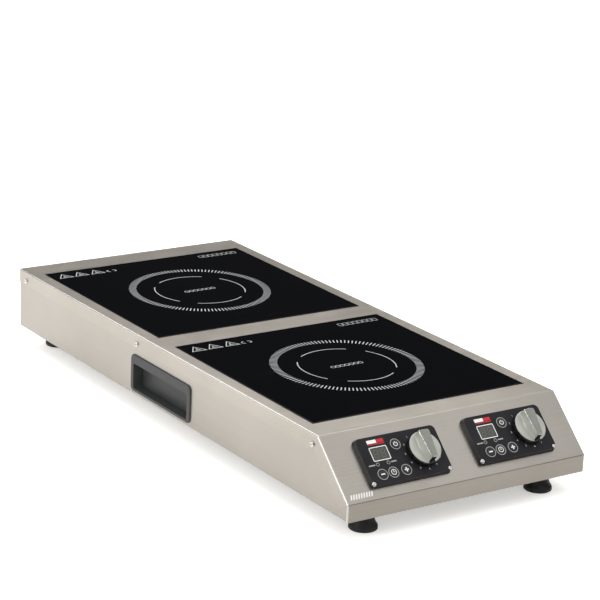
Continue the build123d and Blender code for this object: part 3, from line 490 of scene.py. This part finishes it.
# ---- Cooking surfaces --------------------------------------------------------
# Two black glass-ceramic panels, 4 mm thick with ground edges, bedded in dark silicone. On each a pale
# ceramic ink is fired in: a ring of ticks round the coil, a broken inner circle, and small plain marks.
def outline(width, height, corner, steps=8):
    """Points round a rectangle with round corners: for each corner its centre plus a quarter circle."""
    turn = np.linspace(0, math.pi / 2, steps + 1)
    angle = turn[None, :] + np.arange(4)[:, None] * math.pi / 2
    sign = np.array([(1, 1), (-1, 1), (-1, -1), (1, -1)])
    centre = sign * (np.array([width, height]) / 2 - corner)
    return (centre[:, None, :] + corner * np.stack([np.cos(angle), np.sin(angle)], -1)).reshape(-1, 2)


def ring_solid(rings):
    """A closed skin from rings of equally many points, one above another, with a flat face on each end."""
    rings = np.asarray(rings)
    count, around = rings.shape[:2]
    faces = grid_faces(count, around, wrap_columns=True).tolist()
    faces += [list(range(around)), list(range((count - 1) * around, count * around))]
    return rings.reshape(-1, 3), faces


def ribbon(path, width, low, high, closed=False):
    """A flat line with a width and a thickness, along a path in a plane.

    Each point moves half the width to both sides along the mitre of its two runs, which is the sum of their
    normals divided by its share of one of them. That section, low and high, is joined from point to point.
    """
    path = np.asarray(path, float)
    runs = np.roll(path, -1, 0) - path if closed else np.diff(path, axis=0)
    runs = runs / np.linalg.norm(runs, axis=1, keepdims=True)
    if closed:
        before, after = np.roll(runs, 1, 0), runs
    else:
        before, after = np.vstack([runs[:1], runs]), np.vstack([runs, runs[-1:]])
    normal, other = (np.stack([-v[:, 1], v[:, 0]], 1) for v in (before, after))
    mitre = (normal + other) / ((normal + other) * other).sum(1, keepdims=True) * width / 2
    left, right = path + mitre, path - mitre
    section = [(left, low), (right, low), (right, high), (left, high)]
    points = np.stack([np.insert(p, 2, z, axis=1) for p, z in section], 1)
    faces = grid_faces(len(path), 4, wrap_rows=closed, wrap_columns=True).tolist()
    if not closed:
        last = 4 * (len(path) - 1)
        faces += [[0, 1, 2, 3], [last, last + 1, last + 2, last + 3]]
    return points.reshape(-1, 3), faces


def arc(radius, start, end, steps, at=(0.0, 0.0)):
    """Points along an arc, its angles in degrees. A whole turn leaves out the last point."""
    angle = np.radians(np.linspace(start, end, steps, endpoint=abs(end - start) < 359.9))
    return np.stack([at[0] + radius * np.cos(angle), at[1] + radius * np.sin(angle)], 1)


def joined(parts):
    """Several meshes as one: their points stacked, and each one's faces counted on from the last."""
    starts = np.cumsum([0] + [len(points) for points, _ in parts[:-1]])
    faces = [[i + int(start) for i in face] for (_, own), start in zip(parts, starts) for face in own]
    return np.vstack([points for points, _ in parts]), faces


ZONES = ("front", "rear")
GLASS_SIZE, GLASS_CORNER = GLASS_EDGE[0][1][0] * 2, 2.0
GLASS_TOP, GLASS_UNDER, INK = GLASS_EDGE[0][1][2], GLASS_EDGE[0][0][2], 0.03
GLASS_FACE = GLASS_TOP - INK
TICKS, TICK_INNER, TICK_OUTER, TICK_WIDTH = 120, 83.6, 93.2, 1.35
CIRCLE_RADIUS, CIRCLE_WIDTH = 59.5, 1.25
CIRCLE_ARCS = ((56.5, 123.5), (144.5, 213.0), (236.0, 303.5), (324.5, 393.0))
COIL_TURNS, COIL_SIGN_PITCH, COIL_SIGN_RADIUS, COIL_SIGN_LINE = 7, 6.6, 3.0, 0.8
NOTICE_X, NOTICE_LINE, NOTICE_BOLD = (-131.2, -107.9, -83.6), 1.15, 1.6
NOTICE_BASE, NOTICE_HEIGHT, NOTICE_FROM_REAR = 19.5, 15.5, 26.6
NOTICE_BAR, NOTICE_STROKE = [(-3.4, 3.6), (3.4, 3.6)], [(0.0, 5.6), (0.0, 9.6)]
HOOK_X, HOOK_RADIUS, HOOK_FROM_REAR, HOOK_LINE = (-66.0, -58.5), 3.0, 23.5, 1.1
BLOCKS, BLOCKS_FROM, BLOCKS_TO, BLOCKS_FROM_REAR = 8, 78.0, 138.0, 17.5
BLOCK_TALL, BLOCK_GAP, BLOCK_CORNER, BLOCK_LINE = 9.0, 1.9, 1.6, 0.7


def glass_ceramic():
    """Black glass-ceramic: smooth and glossy, its upper side very slightly wavy over some 20 mm, with faint
    dry smears that take the shine off here and there."""
    paint, tree, place = new_material("black_glass_ceramic")
    smears = add(tree, "TexNoise", {0: place, 2: 14.0, 3: 5.0, 4: 0.62, 8: 0.8})
    dust = add(tree, "TexNoise", {0: place, 2: 900.0, 3: 1.0})
    wave = add(tree, "TexNoise", {0: place, 2: 50.0, 3: 1.0})
    rough = add(tree, "MapRange", {0: smears, 1: 0.42, 2: 0.75, 3: 0.045, 4: 0.13})
    speck = add(tree, "MapRange", {0: dust, 1: 0.35, 2: 0.8, 3: 0.0, 4: 1.0})
    colour = add(tree, "Mix", {0: speck, 6: linear("#07080B"), 7: linear("#0D0E12")}, data_type="RGBA")
    bump = add(tree, "Bump", {"Height": wave, "Strength": 0.12, "Distance": 0.04 * MM})
    show(tree, add(tree, "BsdfPrincipled", {
        "Base Color": colour.outputs[2], "Roughness": rough, "IOR": 1.5, "Normal": bump,
        "Specular IOR Level": 0.12}))
    return paint


def fired_ink(name, tint, wear):
    """Ceramic ink fired on the glass: matt, a little patchy where the screen left it thin."""
    paint, tree, place = new_material(name)
    thin = add(tree, "TexNoise", {0: place, 2: 1400.0, 3: 2.0, 4: 0.6})
    share = add(tree, "MapRange", {0: thin, 1: 0.3, 2: 0.7, 3: wear, 4: 0.0})
    colour = add(tree, "Mix", {0: share, 6: linear(tint), 7: linear("#3A3B3D")}, data_type="RGBA")
    show(tree, add(tree, "BsdfPrincipled", {
        "Base Color": colour.outputs[2], "Roughness": 0.55, "Specular IOR Level": 0.3}))
    return paint


def zone_ink(centre_y):
    """All the ink on one glass, as flat lines: straight runs for ticks and marks, arcs for circles."""
    flat = (GLASS_FACE - 0.02, GLASS_TOP)
    angle = np.radians(np.arange(TICKS) * 360.0 / TICKS)
    along = np.stack([np.cos(angle), np.sin(angle)], 1)
    parts = [ribbon([d * TICK_INNER, d * TICK_OUTER], TICK_WIDTH, *flat) for d in along]
    parts += [ribbon(arc(CIRCLE_RADIUS, a, b, 40), CIRCLE_WIDTH, *flat) for a, b in CIRCLE_ARCS]
    for k in range(COIL_TURNS):
        at = ((k - (COIL_TURNS - 1) / 2) * COIL_SIGN_PITCH, 0)
        parts.append(ribbon(arc(COIL_SIGN_RADIUS, 0, 360, 24, at), COIL_SIGN_LINE, *flat, True))
    rear = GLASS_SIZE / 2
    for x in NOTICE_X:
        foot = np.array([x, rear - NOTICE_FROM_REAR])
        corners = [(-NOTICE_BASE / 2, 0), (NOTICE_BASE / 2, 0), (0, NOTICE_HEIGHT)]
        parts.append(ribbon(foot + corners, NOTICE_LINE, *flat, True))
        parts.append(ribbon(foot + NOTICE_BAR, NOTICE_BOLD, *flat))
        parts.append(ribbon(foot + NOTICE_STROKE, NOTICE_BOLD, *flat))
    for k, x in enumerate(HOOK_X):
        hook = arc(HOOK_RADIUS, 70 + 180 * k, 290 + 180 * k, 18, (x, rear - HOOK_FROM_REAR))
        parts.append(ribbon(hook, HOOK_LINE, *flat))
    pitch = (BLOCKS_TO - BLOCKS_FROM) / BLOCKS
    for k in range(BLOCKS):
        at = (BLOCKS_FROM + pitch * (k + 0.5), rear - BLOCKS_FROM_REAR)
        box = outline(pitch - BLOCK_GAP, BLOCK_TALL, BLOCK_CORNER, 4) + at
        parts.append(ribbon(box, BLOCK_LINE, *flat, True))
    points, faces = joined(parts)
    return points + (0, centre_y, 0), faces


black_glass = glass_ceramic()
pale_ink = fired_ink("fired_pale_ink", "#C3C6C6", 0.35)
silicone = moulded("black_silicone_bead", ("#0B0B0B", "#141412"), 1.5, 0.03, 0.4)
for zone in ZONES:
    low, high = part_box(f"glass_{zone}")
    middle = (0.0, (low.y + high.y) / 2 / MM)
    profile = [(0.3, GLASS_UNDER), (0.0, GLASS_UNDER + 0.3), (0.0, GLASS_FACE - 0.6),
               (0.12, GLASS_FACE - 0.32), (0.32, GLASS_FACE - 0.12), (0.6, GLASS_FACE), (1.4, GLASS_FACE)]
    rings = []
    for inset, z in profile:
        size = GLASS_SIZE - 2 * inset
        edge = outline(size, size, max(GLASS_CORNER - inset, 0.2)) + middle
        rings.append(np.insert(edge, 2, z, axis=1))
    points, faces = ring_solid(rings)
    plate = make_piece(f"glass_plate_{zone}", points, faces, "housing", "glass_ceramic", black_glass)
    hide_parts(f"glass_{zone}")
    points, faces = zone_ink(middle[1])
    make_piece(f"zone_ink_{zone}", points, faces, "housing", "glass_ceramic", pale_ink, smooth=20.0)
coat(silicone, "glass_seals")


# ---- Control panels ----------------------------------------------------------
# On the fascia sit two moulded panels, each a shell with a printed film stuck in its face: a smoked window
# over two unlit digits, four round keys in printed rings, two lamps, and a dial round the selector knob.
# A plain row of slanted strokes is printed low on the fascia's left end.
PANEL_W, PANEL_H, PANEL_THICK = 112.0, 61.0, 6.0
KNOB_AT, KNOB_HOLE, KNOB_JOINT_UP = np.array([25.0, 0.4]), 4.6, 10.0
FILM_INSET, FILM_CORNER, FILM, SCREW_BITE = 2.2, 5.0, 0.05, 6.2
WINDOW_AT, WINDOW_SIZE, WINDOW_FRAME, WINDOW_LINE = (-29.2, 7.3), (21.2, 14.8), 1.5, 1.0
DIGIT_X, DIGIT_SIZE, DIGIT_LEAN, SEGMENT_WIDTH, SEGMENT_GAP = (-5.2, 4.4), (5.2, 9.4), 0.09, 0.95, 0.55
DIGIT_LOW, DIGIT_HIGH = PANEL_THICK - 0.13, PANEL_THICK - 0.07
KEYS = {"power": (-4.8, 14.7), "minus": (-36.8, -17.6), "timer": (-22.2, -17.6), "plus": (-4.8, -17.6)}
KEY_RADIUS, KEY_PROUD, KEY_RING, KEY_RING_LINE = 5.5, 0.5, 6.25, 0.8
LAMPS, LAMP_RADIUS, LAMP_HOLE = ((-38.0, -5.1), (-23.5, -5.1)), 1.55, 1.6
LAMP_RING, LAMP_RING_LINE = 1.95, 0.55
LAMP_NOTES, LAMP_NOTE_TALL = ([(-50.0, -5.3), (-41.6, -5.3)], [(-19.8, -4.9), (-12.6, -4.9)]), 1.5
DIAL_RADIUS, DIAL_START, DIAL_STEP, DIAL_MARKS, DIAL_SIZE = 22.6, 120.0, 30.0, 8, 3.0
STRIPE_WHITE, STRIPE_RED, STRIPE_WIDE = [(-40.2, 22.6), (-27.6, 22.6)], [(-26.6, 22.6), (-17.8, 22.6)], 4.2
STRIPE_UNDER, STRIPE_THIN = [(-40.2, 19.2), (-17.8, 19.2)], 1.2
PRINT, SUNK = 0.03, 0.02
MARK_LOW, MARK_HIGH, MARK_LEAN, MARK_WIDTH = -37.4, -31.6, 1.2, 1.7
MARK_STROKES = np.linspace(-84.0, -56.5, 9)


def on_panel(side, points):
    """Points in a panel's own axes, x right, y up the slope and z out of the fascia, put in their place.

    The knob's joint gives them: its axis points inwards, and its place is the knob's, a little way out.
    """
    joint = next(j for j in frame["joints"] if j["name"] == f"knob_turn_{side}")
    out = -np.array(joint["axis"])
    right = np.array([1.0, 0.0, 0.0])
    up = np.cross(out, right)
    origin = np.array(joint["pos_m"]) / MM - KNOB_JOINT_UP * out - KNOB_AT[0] * right - KNOB_AT[1] * up
    return origin + np.asarray(points) @ np.stack([right, up, out])


def flat_print(drawn, high, thickness):
    """A filled outline with its holes, from a flat curve made a mesh: the first path is the edge."""
    curve = bpy.data.curves.new("outline", "CURVE")
    curve.dimensions, curve.fill_mode, curve.extrude = "2D", "BOTH", thickness / 2
    for path in drawn:
        spline = curve.splines.new("POLY")
        spline.points.add(len(path) - 1)
        ones = np.ones(len(path))
        spline.points.foreach_set("co", np.column_stack([path, 0 * ones, ones]).ravel())
        spline.use_cyclic_u = True
    return solid_of(curve, high - thickness / 2)


def solid_of(curve, level, at=(0.0, 0.0)):
    """A filled curve or a text as points and faces, moved to a level and a place."""
    shape = bpy.data.objects.new("shape", curve)
    scene.collection.objects.link(shape)
    mesh = applied(shape)
    bpy.data.objects.remove(shape)
    points = np.empty(len(mesh.vertices) * 3)
    mesh.vertices.foreach_get("co", points)
    return points.reshape(-1, 3) + (*at, level), [list(face.vertices) for face in mesh.polygons]


def numeral(number, size, at, level):
    """A digit as a thin solid, centred on its place."""
    text = bpy.data.curves.new("numeral", "FONT")
    text.body, text.size, text.extrude = str(number), size, PRINT / 2
    text.align_x, text.align_y, text.resolution_u = "CENTER", "CENTER", 4
    return solid_of(text, level, at)


def film_outline():
    """The film's edge: a rectangle with round corners, cut in at both lower corners round the screws."""
    half_w, half_h = PANEL_W / 2 - FILM_INSET, PANEL_H / 2 - FILM_INSET
    edge = outline(2 * half_w, 2 * half_h, FILM_CORNER, 8)
    scoop = arc(SCREW_BITE, 90, 180, 9, (half_w + 0.4, -half_h - 0.4))
    return np.vstack([edge[edge[:, 1] > 0], scoop * (-1, 1), scoop[::-1]])


def segments(at):
    """A seven-segment digit, as straight runs leaning over a little."""
    w, h = DIGIT_SIZE[0] / 2, DIGIT_SIZE[1] / 2
    runs = [((-w, h), (w, h)), ((-w, 0), (w, 0)), ((-w, -h), (w, -h)), ((-w, 0), (-w, h)), ((w, 0), (w, h)),
            ((-w, -h), (-w, 0)), ((w, -h), (w, 0))]
    made = []
    for a, b in np.array(runs):
        short = (b - a) / np.linalg.norm(b - a) * SEGMENT_GAP
        ends = np.array([a + short, b - short])
        ends[:, 0] += DIGIT_LEAN * ends[:, 1]
        made.append(ends + at)
    return made


def symbol(key):
    """What is printed on a key: short runs and small circles."""
    if key == "minus":
        return [([(-2.6, 0), (2.6, 0)], 1.5, False)]
    if key == "plus":
        return [([(-2.7, 0), (2.7, 0)], 1.6, False), ([(0, -2.7), (0, 2.7)], 1.6, False)]
    if key == "power":
        return [(arc(2.5, 125, 415, 22), 0.85, False), ([(0, 0.4), (0, 3.3)], 0.85, False)]
    return [(arc(3.1, 0, 360, 28), 0.8, True), ([(0, 1.9), (0, 0), (1.4, 0)], 0.7, False)]


# Black ABS, satin, so that rounded edges catch a thin line of light. Polyester film printed on its back, seen
# through a fine matt face. Clear epoxy over an unlit diode, smoky and glossy. Smoked acrylic, polished.
panel_abs = moulded("satin_abs_panel", ("#18181A", "#222224"), 0.35, 0.02, 0.28, 0.5)
film_paint = moulded("polyester_film", ("#1E1E21", "#27272A"), 0.25, 0.006, 0.4, 0.15)
lens_paint = moulded("lamp_lens", ("#1D1C1A", "#2A2826"), 3.0, 0.002, 0.12)
window_paint = moulded("smoked_acrylic", ("#3A3A36", "#44443F"), 8.0, 0.002, 0.1)
segment_paint = moulded("unlit_segments", ("#4C4B46", "#57564F"), 1.0, 0.001, 0.3)
key_paint = moulded("satin_key_caps", ("#171718", "#202021"), 0.4, 0.015, 0.35)
legend_ink = fired_ink("white_legend_ink", "#E9E9E6", 0.12)
ring_ink = fired_ink("grey_ring_ink", "#A3A3A1", 0.15)
red_ink = fired_ink("red_legend_ink", "#C4252B", 0.12)


def put_on_panel(name, side, shape, paint, slot="panel_plastic", body="housing", smooth=20.0):
    """Makes a piece of points in a panel's axes and their faces, in its place on that side's panel."""
    points, faces = shape
    make_piece(f"{name}_{side}", on_panel(side, points), faces, body, slot, paint, smooth=smooth)


face, cap = PANEL_THICK + FILM, PANEL_THICK + KEY_PROUD
on_face, on_cap = (face - SUNK, face + PRINT), (cap - SUNK, cap + PRINT)
lens = [(0.0, face - 0.9), (0.0, face - 0.05), (0.35, face + 0.12), (0.9, face + 0.22)]
for side in SIDES:
    smoothed(f"panel_housing_{side}", panel_abs)
    holes = [arc(KEY_RADIUS + 0.15, 0, 360, 40, at) for at in KEYS.values()]
    holes.append(outline(*WINDOW_SIZE, 0.8, 3) + WINDOW_AT)
    holes.append(arc(KNOB_HOLE, 0, 360, 24, KNOB_AT))
    holes += [arc(LAMP_HOLE, 0, 360, 20, at) for at in LAMPS]
    film = flat_print([film_outline()] + holes, face, FILM)
    put_on_panel("panel_film", side, film, film_paint, smooth=25.0)

    window_frame = outline(WINDOW_SIZE[0] + WINDOW_FRAME, WINDOW_SIZE[1] + WINDOW_FRAME, 1.0, 3) + WINDOW_AT
    white = [ribbon(window_frame, WINDOW_LINE, *on_face, True)]
    for mark in range(DIAL_MARKS):
        turn = math.radians(DIAL_START + DIAL_STEP * mark)
        at = KNOB_AT + DIAL_RADIUS * np.array([math.cos(turn), math.sin(turn)])
        white.append(numeral(mark + 1, DIAL_SIZE, at, face + PRINT / 2))
    white.append(ribbon(STRIPE_WHITE, STRIPE_WIDE, *on_face))
    grey = [ribbon(arc(KEY_RING, 0, 360, 48, at), KEY_RING_LINE, *on_face, True) for at in KEYS.values()]
    grey += [ribbon(arc(LAMP_RING, 0, 360, 24, at), LAMP_RING_LINE, *on_face, True) for at in LAMPS]
    grey += [ribbon(note, LAMP_NOTE_TALL, *on_face) for note in LAMP_NOTES]
    red = [ribbon(STRIPE_RED, STRIPE_WIDE, *on_face), ribbon(STRIPE_UNDER, STRIPE_THIN, *on_face)]
    put_on_panel("panel_legends", side, joined(white), legend_ink)
    put_on_panel("panel_rings", side, joined(grey), ring_ink)
    put_on_panel("panel_bar", side, joined(red), red_ink)

    lenses = []
    for at in LAMPS:
        rings = [np.insert(arc(LAMP_RADIUS - inset, 0, 360, 20, at), 2, z, axis=1) for inset, z in lens]
        lenses.append(ring_solid(rings))
    put_on_panel("lamps", side, joined(lenses), lens_paint, smooth=50.0)

    smoothed(f"display_window_{side}", window_paint)
    runs = [run for x in DIGIT_X for run in segments((WINDOW_AT[0] + x, WINDOW_AT[1]))]
    digits = joined([ribbon(run, SEGMENT_WIDTH, DIGIT_LOW, DIGIT_HIGH) for run in runs])
    put_on_panel("digits", side, digits, segment_paint, "window_acrylic")

    for key, at in KEYS.items():
        body = f"button_{key}_{side}"
        smoothed(body, key_paint, 30.0, body)
        drawn = [ribbon(np.asarray(path) + at, width, *on_cap, loop) for path, width, loop in symbol(key)]
        put_on_panel(f"symbol_{key}", side, joined(drawn), legend_ink, "key_plastic", body)

strokes = [ribbon([(x - MARK_LEAN, MARK_LOW), (x + MARK_LEAN, MARK_HIGH)], MARK_WIDTH, -SUNK, PRINT)
           for x in MARK_STROKES]
points, faces = joined(strokes)
make_piece("fascia_mark", on_panel("left", points), faces, "housing", "stainless_sheet", legend_ink,
           smooth=20.0)


# ---- Selector knobs ----------------------------------------------------------
# Each knob is a deep glossy black skirt under a silver-grey cap. A ribbed finger bar stands across the cap,
# wider towards its pointing end, with a cut edge whose near-white tint is partly a painted highlight. The
# bar's ribbed top is painted darker, as painted shade, and its near end is painted the skirt's black.
CAP_RADIUS, CAP_LOW, CAP_DISC, CAP_RIM = 19.7, 14.4, 15.4, 0.5
BAR_TOP, BAR_FALL, BAR_ENDS, BAR_HALF = 25.2, 0.7, (-16.6, 16.9), (3.7, 6.9)
BAR_BEVEL, BAR_SQUARE = (0.45, 0.4), 0.2
FLANK_REACH, FLANK_POWER, FLANK_RINGS, DISC_CROWN = (1.0, 3.6), 2.2, 25, 0.2
CAP_POINTS, TOP_RINGS, RIM_RINGS, SPREAD = 200, 30, 5, 1.2
RIBS, RIB_DEPTH, RIB_STOP = 7, 0.35, 14
SKIRT_RADIUS, SKIRT_LOW = 20.0, 6.6


def knob_cap():
    """The cap as one closed skin of rings, each running once round the bar's outline, and each face's paint.

    The outline is a squared oval whose half-width grows evenly from one end to the other. The first rings
    share its y and scale only its x from nought to one, so their ribs, a cosine of x over the half-width, run
    along the bar. Then come a small bevel and the flank, where a point slides from the outline to the round
    rim, and its height is the disc's plus the bar's, times one minus its share of the flank's reach, to the
    power 2.2. The reach is 3.6 mm at the sides and 1 mm at the ends. The rim, wall and underside close it.
    Paint 0 is the lacquer, 1 the skirt's black on the near end, 2 the cut bevel, near-white partly as a
    painted highlight, and 3 the ribbed top, darker as painted shade.
    """
    turn = np.linspace(0, 2 * math.pi, 4001)
    squared = np.sign([np.cos(turn), np.sin(turn)]) * np.abs([np.cos(turn), np.sin(turn)]) ** BAR_SQUARE
    y = (BAR_ENDS[0] + BAR_ENDS[1]) / 2 + squared[1] * (BAR_ENDS[1] - BAR_ENDS[0]) / 2
    share = (y - BAR_ENDS[0]) / (BAR_ENDS[1] - BAR_ENDS[0])
    half = BAR_HALF[0] + (BAR_HALF[1] - BAR_HALF[0]) * share
    x = squared[0] * half
    seen = np.unwrap(np.arctan2(y, SPREAD * x))
    even = seen[0] + np.linspace(0, 2 * math.pi, CAP_POINTS, endpoint=False)
    x, y, share, half, lengthways = (np.interp(even, seen, v) for v in (x, y, share, half, squared[1]))
    top = BAR_TOP - BAR_FALL * (1 - share)
    rings = []
    for k in np.linspace(0, 1, TOP_RINGS):
        rib = RIB_DEPTH * (0.5 - 0.5 * np.cos(math.pi * RIBS * (x * k / half + 1)))
        rings.append((x * k, y, top - rib * (1 - np.abs(lengthways) ** RIB_STOP)))
    away = np.stack([x, y * 0.25])
    away = away / np.linalg.norm(away, axis=0)
    out_x, out_y = x + away[0] * BAR_BEVEL[0], y + away[1] * BAR_BEVEL[0]
    rings.append((out_x, out_y, top - BAR_BEVEL[1]))
    aim = np.stack([SPREAD * x, y])
    aim = aim / np.linalg.norm(aim, axis=0)
    rim = CAP_RADIUS - CAP_RIM
    run_x, run_y = aim[0] * rim - out_x, aim[1] * rim - out_y
    distance = np.hypot(run_x, run_y)
    sideways = np.abs(aim[0]) ** 1.5
    reach = FLANK_REACH[0] + (FLANK_REACH[1] - FLANK_REACH[0]) * sideways
    reach = np.minimum(reach, np.maximum(distance, 0.8))
    for s in np.linspace(0, 1, FLANK_RINGS + 1)[1:] ** 1.5:
        left = np.clip(1 - s * distance / reach, 0, 1)
        radius = np.hypot(out_x + run_x * s, out_y + run_y * s)
        disc = CAP_DISC + DISC_CROWN * (1 - (radius / rim) ** 2)
        flank = disc + (top - BAR_BEVEL[1] - disc) * left ** FLANK_POWER
        rings.append((out_x + run_x * s, out_y + run_y * s, flank))
    for bend in np.linspace(0, math.pi / 2, RIM_RINGS + 1)[1:]:
        radius = rim + CAP_RIM * math.sin(bend)
        level = CAP_DISC - CAP_RIM * (1 - math.cos(bend))
        rings.append((aim[0] * radius, aim[1] * radius, np.full_like(x, level)))
    for radius in (CAP_RADIUS, CAP_RADIUS - 1.5):
        rings.append((aim[0] * radius, aim[1] * radius, np.full_like(x, CAP_LOW)))
    rings = np.stack([np.stack(np.broadcast_arrays(*ring), -1) for ring in rings])
    faces = grid_faces(len(rings), CAP_POINTS, wrap_columns=True).tolist()
    paints = np.zeros((len(rings) - 1, CAP_POINTS), int)
    near_end = (y + np.roll(y, -1)) / 2 < BAR_ENDS[0] + 0.5
    # The near end's faces are painted the skirt's black.
    paints[TOP_RINGS:, near_end] = 1
    paints[TOP_RINGS - 1] = 2
    paints[:TOP_RINGS - 1] = 3
    faces.append(list(range((len(rings) - 1) * CAP_POINTS, len(rings) * CAP_POINTS)))
    return rings.reshape(-1, 3), faces, [*paints.ravel().tolist(), 0]


def lathe(profile, steps=72):
    """A closed turned shape: the (radius, height) profile carried round the axis, its ends on flat faces."""
    turn = np.linspace(0, 2 * math.pi, steps, endpoint=False)
    radius, height = np.array(profile).T[:, :, None]
    return ring_solid(np.stack(np.broadcast_arrays(radius * np.cos(turn), radius * np.sin(turn), height), -1))


def satin_paint(name, tints):
    """Silver-grey satin lacquer on moulded ABS: fine aluminium flake under a soft gloss, rubbed a little
    brighter in patches where fingers hold the bar."""
    paint, tree, place = new_material(name)
    flake = add(tree, "TexVoronoi", {0: place, 2: 3300.0})
    rubbed = add(tree, "TexNoise", {0: place, 2: 70.0, 3: 3.0, 4: 0.6})
    tone = add(tree, "Math", {0: flake.outputs["Color"], 1: 0.35}, operation="MULTIPLY")
    tone = add(tree, "Math", {0: tone, 1: rubbed}, operation="ADD")
    colour = add(tree, "Mix", {0: tone, 6: linear(tints[0]), 7: linear(tints[1])}, data_type="RGBA")
    rough = add(tree, "MapRange", {0: rubbed, 1: 0.3, 2: 0.7, 3: 0.42, 4: 0.3})
    bump = add(tree, "Bump", {"Height": flake.outputs["Distance"], "Strength": 0.1, "Distance": 0.02 * MM})
    show(tree, add(tree, "BsdfPrincipled", {
        "Base Color": colour.outputs[2], "Metallic": 0.45, "Roughness": rough, "Normal": bump}))
    return paint


knob_paint = satin_paint("silver_satin_lacquer", ("#A6A8A1", "#BEC0B8"))
# The ribbed top's darker tint is painted shade for its grooves.
ribbed_top_painted_shade = satin_paint("ribbed_lacquer_painted_shade", ("#7E7F7A", "#9C9D97"))
skirt_paint = moulded("gloss_black_skirt", ("#0C0C0D", "#151516"), 2.0, 0.003, 0.16)
shaft_steel = bright_plate("turned_shaft_steel", ("#A9A9A6", "#BEBEBB"), 0.3)
# The cut bevel is a bright cut edge, and its near-white tint is partly a painted highlight.
cut_edge_painted_highlight = bright_plate("cut_edge_and_painted_highlight", ("#E4E4E1", "#F2F2EF"), 0.22)
skirt = [(5.0, SKIRT_LOW), (SKIRT_RADIUS - 0.5, SKIRT_LOW), (SKIRT_RADIUS, SKIRT_LOW + 0.4),
         (SKIRT_RADIUS - 0.1, CAP_LOW - 0.7), (SKIRT_RADIUS - 0.6, CAP_LOW + 0.05), (5.0, CAP_LOW + 0.05)]
for side in SIDES:
    body = f"knob_{side}"
    points, faces, paints = knob_cap()
    cap = make_piece(f"knob_cap_{side}", on_panel(side, points + (*KNOB_AT, 0)), faces, body, "knob_plastic",
                     knob_paint, skirt_paint, cut_edge_painted_highlight, ribbed_top_painted_shade, paints=paints, smooth=38.0)
    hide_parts(body)
    points, faces = lathe(skirt)
    put_on_panel("knob_skirt", side, (points + (*KNOB_AT, 0), faces), skirt_paint, "knob_plastic", body, 35.0)
    smoothed(f"selector_shaft_{side}", shaft_steel, 30.0, body)


# ---- Cable gland and inside --------------------------------------------------
# Behind: a nylon gland for the mains lead. Inside, seen through the vents: fans, inverter boards with
# their heat sinks, wound coils on carriers with ferrite bars, mica sheets, filter, terminals and leads.
def solder_mask():
    """FR-4 laminate under green solder mask: paler lines 0.5 mm wide, 3 by 1.6 mm apart, for the tracks."""
    paint, tree, place = new_material("green_solder_mask")
    tracks = add(tree, "TexBrick", {0: place, 4: 160.0, 5: 0.08})
    weave = add(tree, "TexNoise", {0: place, 2: 2000.0, 3: 1.0})
    share = add(tree, "Math", {0: tracks.outputs["Fac"], 1: weave}, operation="MULTIPLY")
    colour = add(tree, "Mix", {0: share, 6: linear("#1E5A34"), 7: linear("#3E8A55")}, data_type="RGBA")
    show(tree, add(tree, "BsdfPrincipled", {"Base Color": colour.outputs[2], "Roughness": 0.35}))
    return paint


def wound_copper():
    """Litz wire wound flat: enamelled copper strands, which glint unevenly over a millimetre or so."""
    paint, tree, place = new_material("enamelled_litz_copper")
    strand = add(tree, "TexNoise", {0: place, 2: 1200.0, 3: 2.0})
    colour = add(tree, "Mix", {0: strand, 6: linear("#7A3A1C"), 7: linear("#B8683A")}, data_type="RGBA")
    bump = add(tree, "Bump", {"Height": strand, "Strength": 0.4, "Distance": 0.2 * MM})
    show(tree, add(tree, "BsdfPrincipled", {
        "Base Color": colour.outputs[2], "Metallic": 0.6, "Roughness": 0.4, "Normal": bump}))
    return paint


smoothed("cable_gland", moulded("black_nylon_gland", ("#131314", "#1D1D1E"), 0.5, 0.02, 0.4))
fan_paint = moulded("black_pbt_fan", ("#141415", "#1F1F20"), 0.6, 0.02, 0.45)
for zone in ZONES:
    coat(fan_paint, f"fan_frame_{zone}", f"fan_rotor_{zone}")
boards = [f"control_board_{s}" for s in SIDES] + [f"power_board_{z}" for z in ZONES] + ["mains_filter"]
switches = [f"selector_switch_{s}" for s in SIDES]
carriers = [f"coil_carrier_{z}" for z in ZONES]
inside = {
    solder_mask(): boards,
    wound_copper(): [f"coil_{z}" for z in ZONES],
    mill_finish("extruded_aluminium", ("#B9BBBD", "#C9CBCD"), 0.4): [f"heat_sink_{z}" for z in ZONES],
    mill_finish("sensor_aluminium", ("#A9ABAD", "#B9BBBD"), 0.35): [f"temperature_sensor_{z}" for z in ZONES],
    bright_plate("plated_posts", ("#B9B7A8", "#CBC9BC"), 0.3): ["coil_posts"],
    moulded("glass_filled_carrier", ("#B5B1A4", "#C3BFB2"), 0.8, 0.04, 0.55): carriers,
    moulded("sintered_ferrite", ("#3B3B3E", "#454548"), 0.7, 0.05, 0.7): ["ferrite_bars"],
    moulded("pressed_mica", ("#A8966F", "#C0AE84"), 2.5, 0.02, 0.5): ["insulation_sheets"],
    moulded("grey_switch_body", ("#4A4A4C", "#58585A"), 0.5, 0.02, 0.5): switches,
    moulded("cream_terminal_block", ("#CFCBBE", "#DAD6CA"), 0.6, 0.02, 0.5): ["terminal_block"],
    moulded("red_lead_insulation", ("#8E1B1B", "#A52424"), 1.0, 0.01, 0.4): ["internal_leads"],
}
for paint, names in inside.items():
    coat(paint, *names)
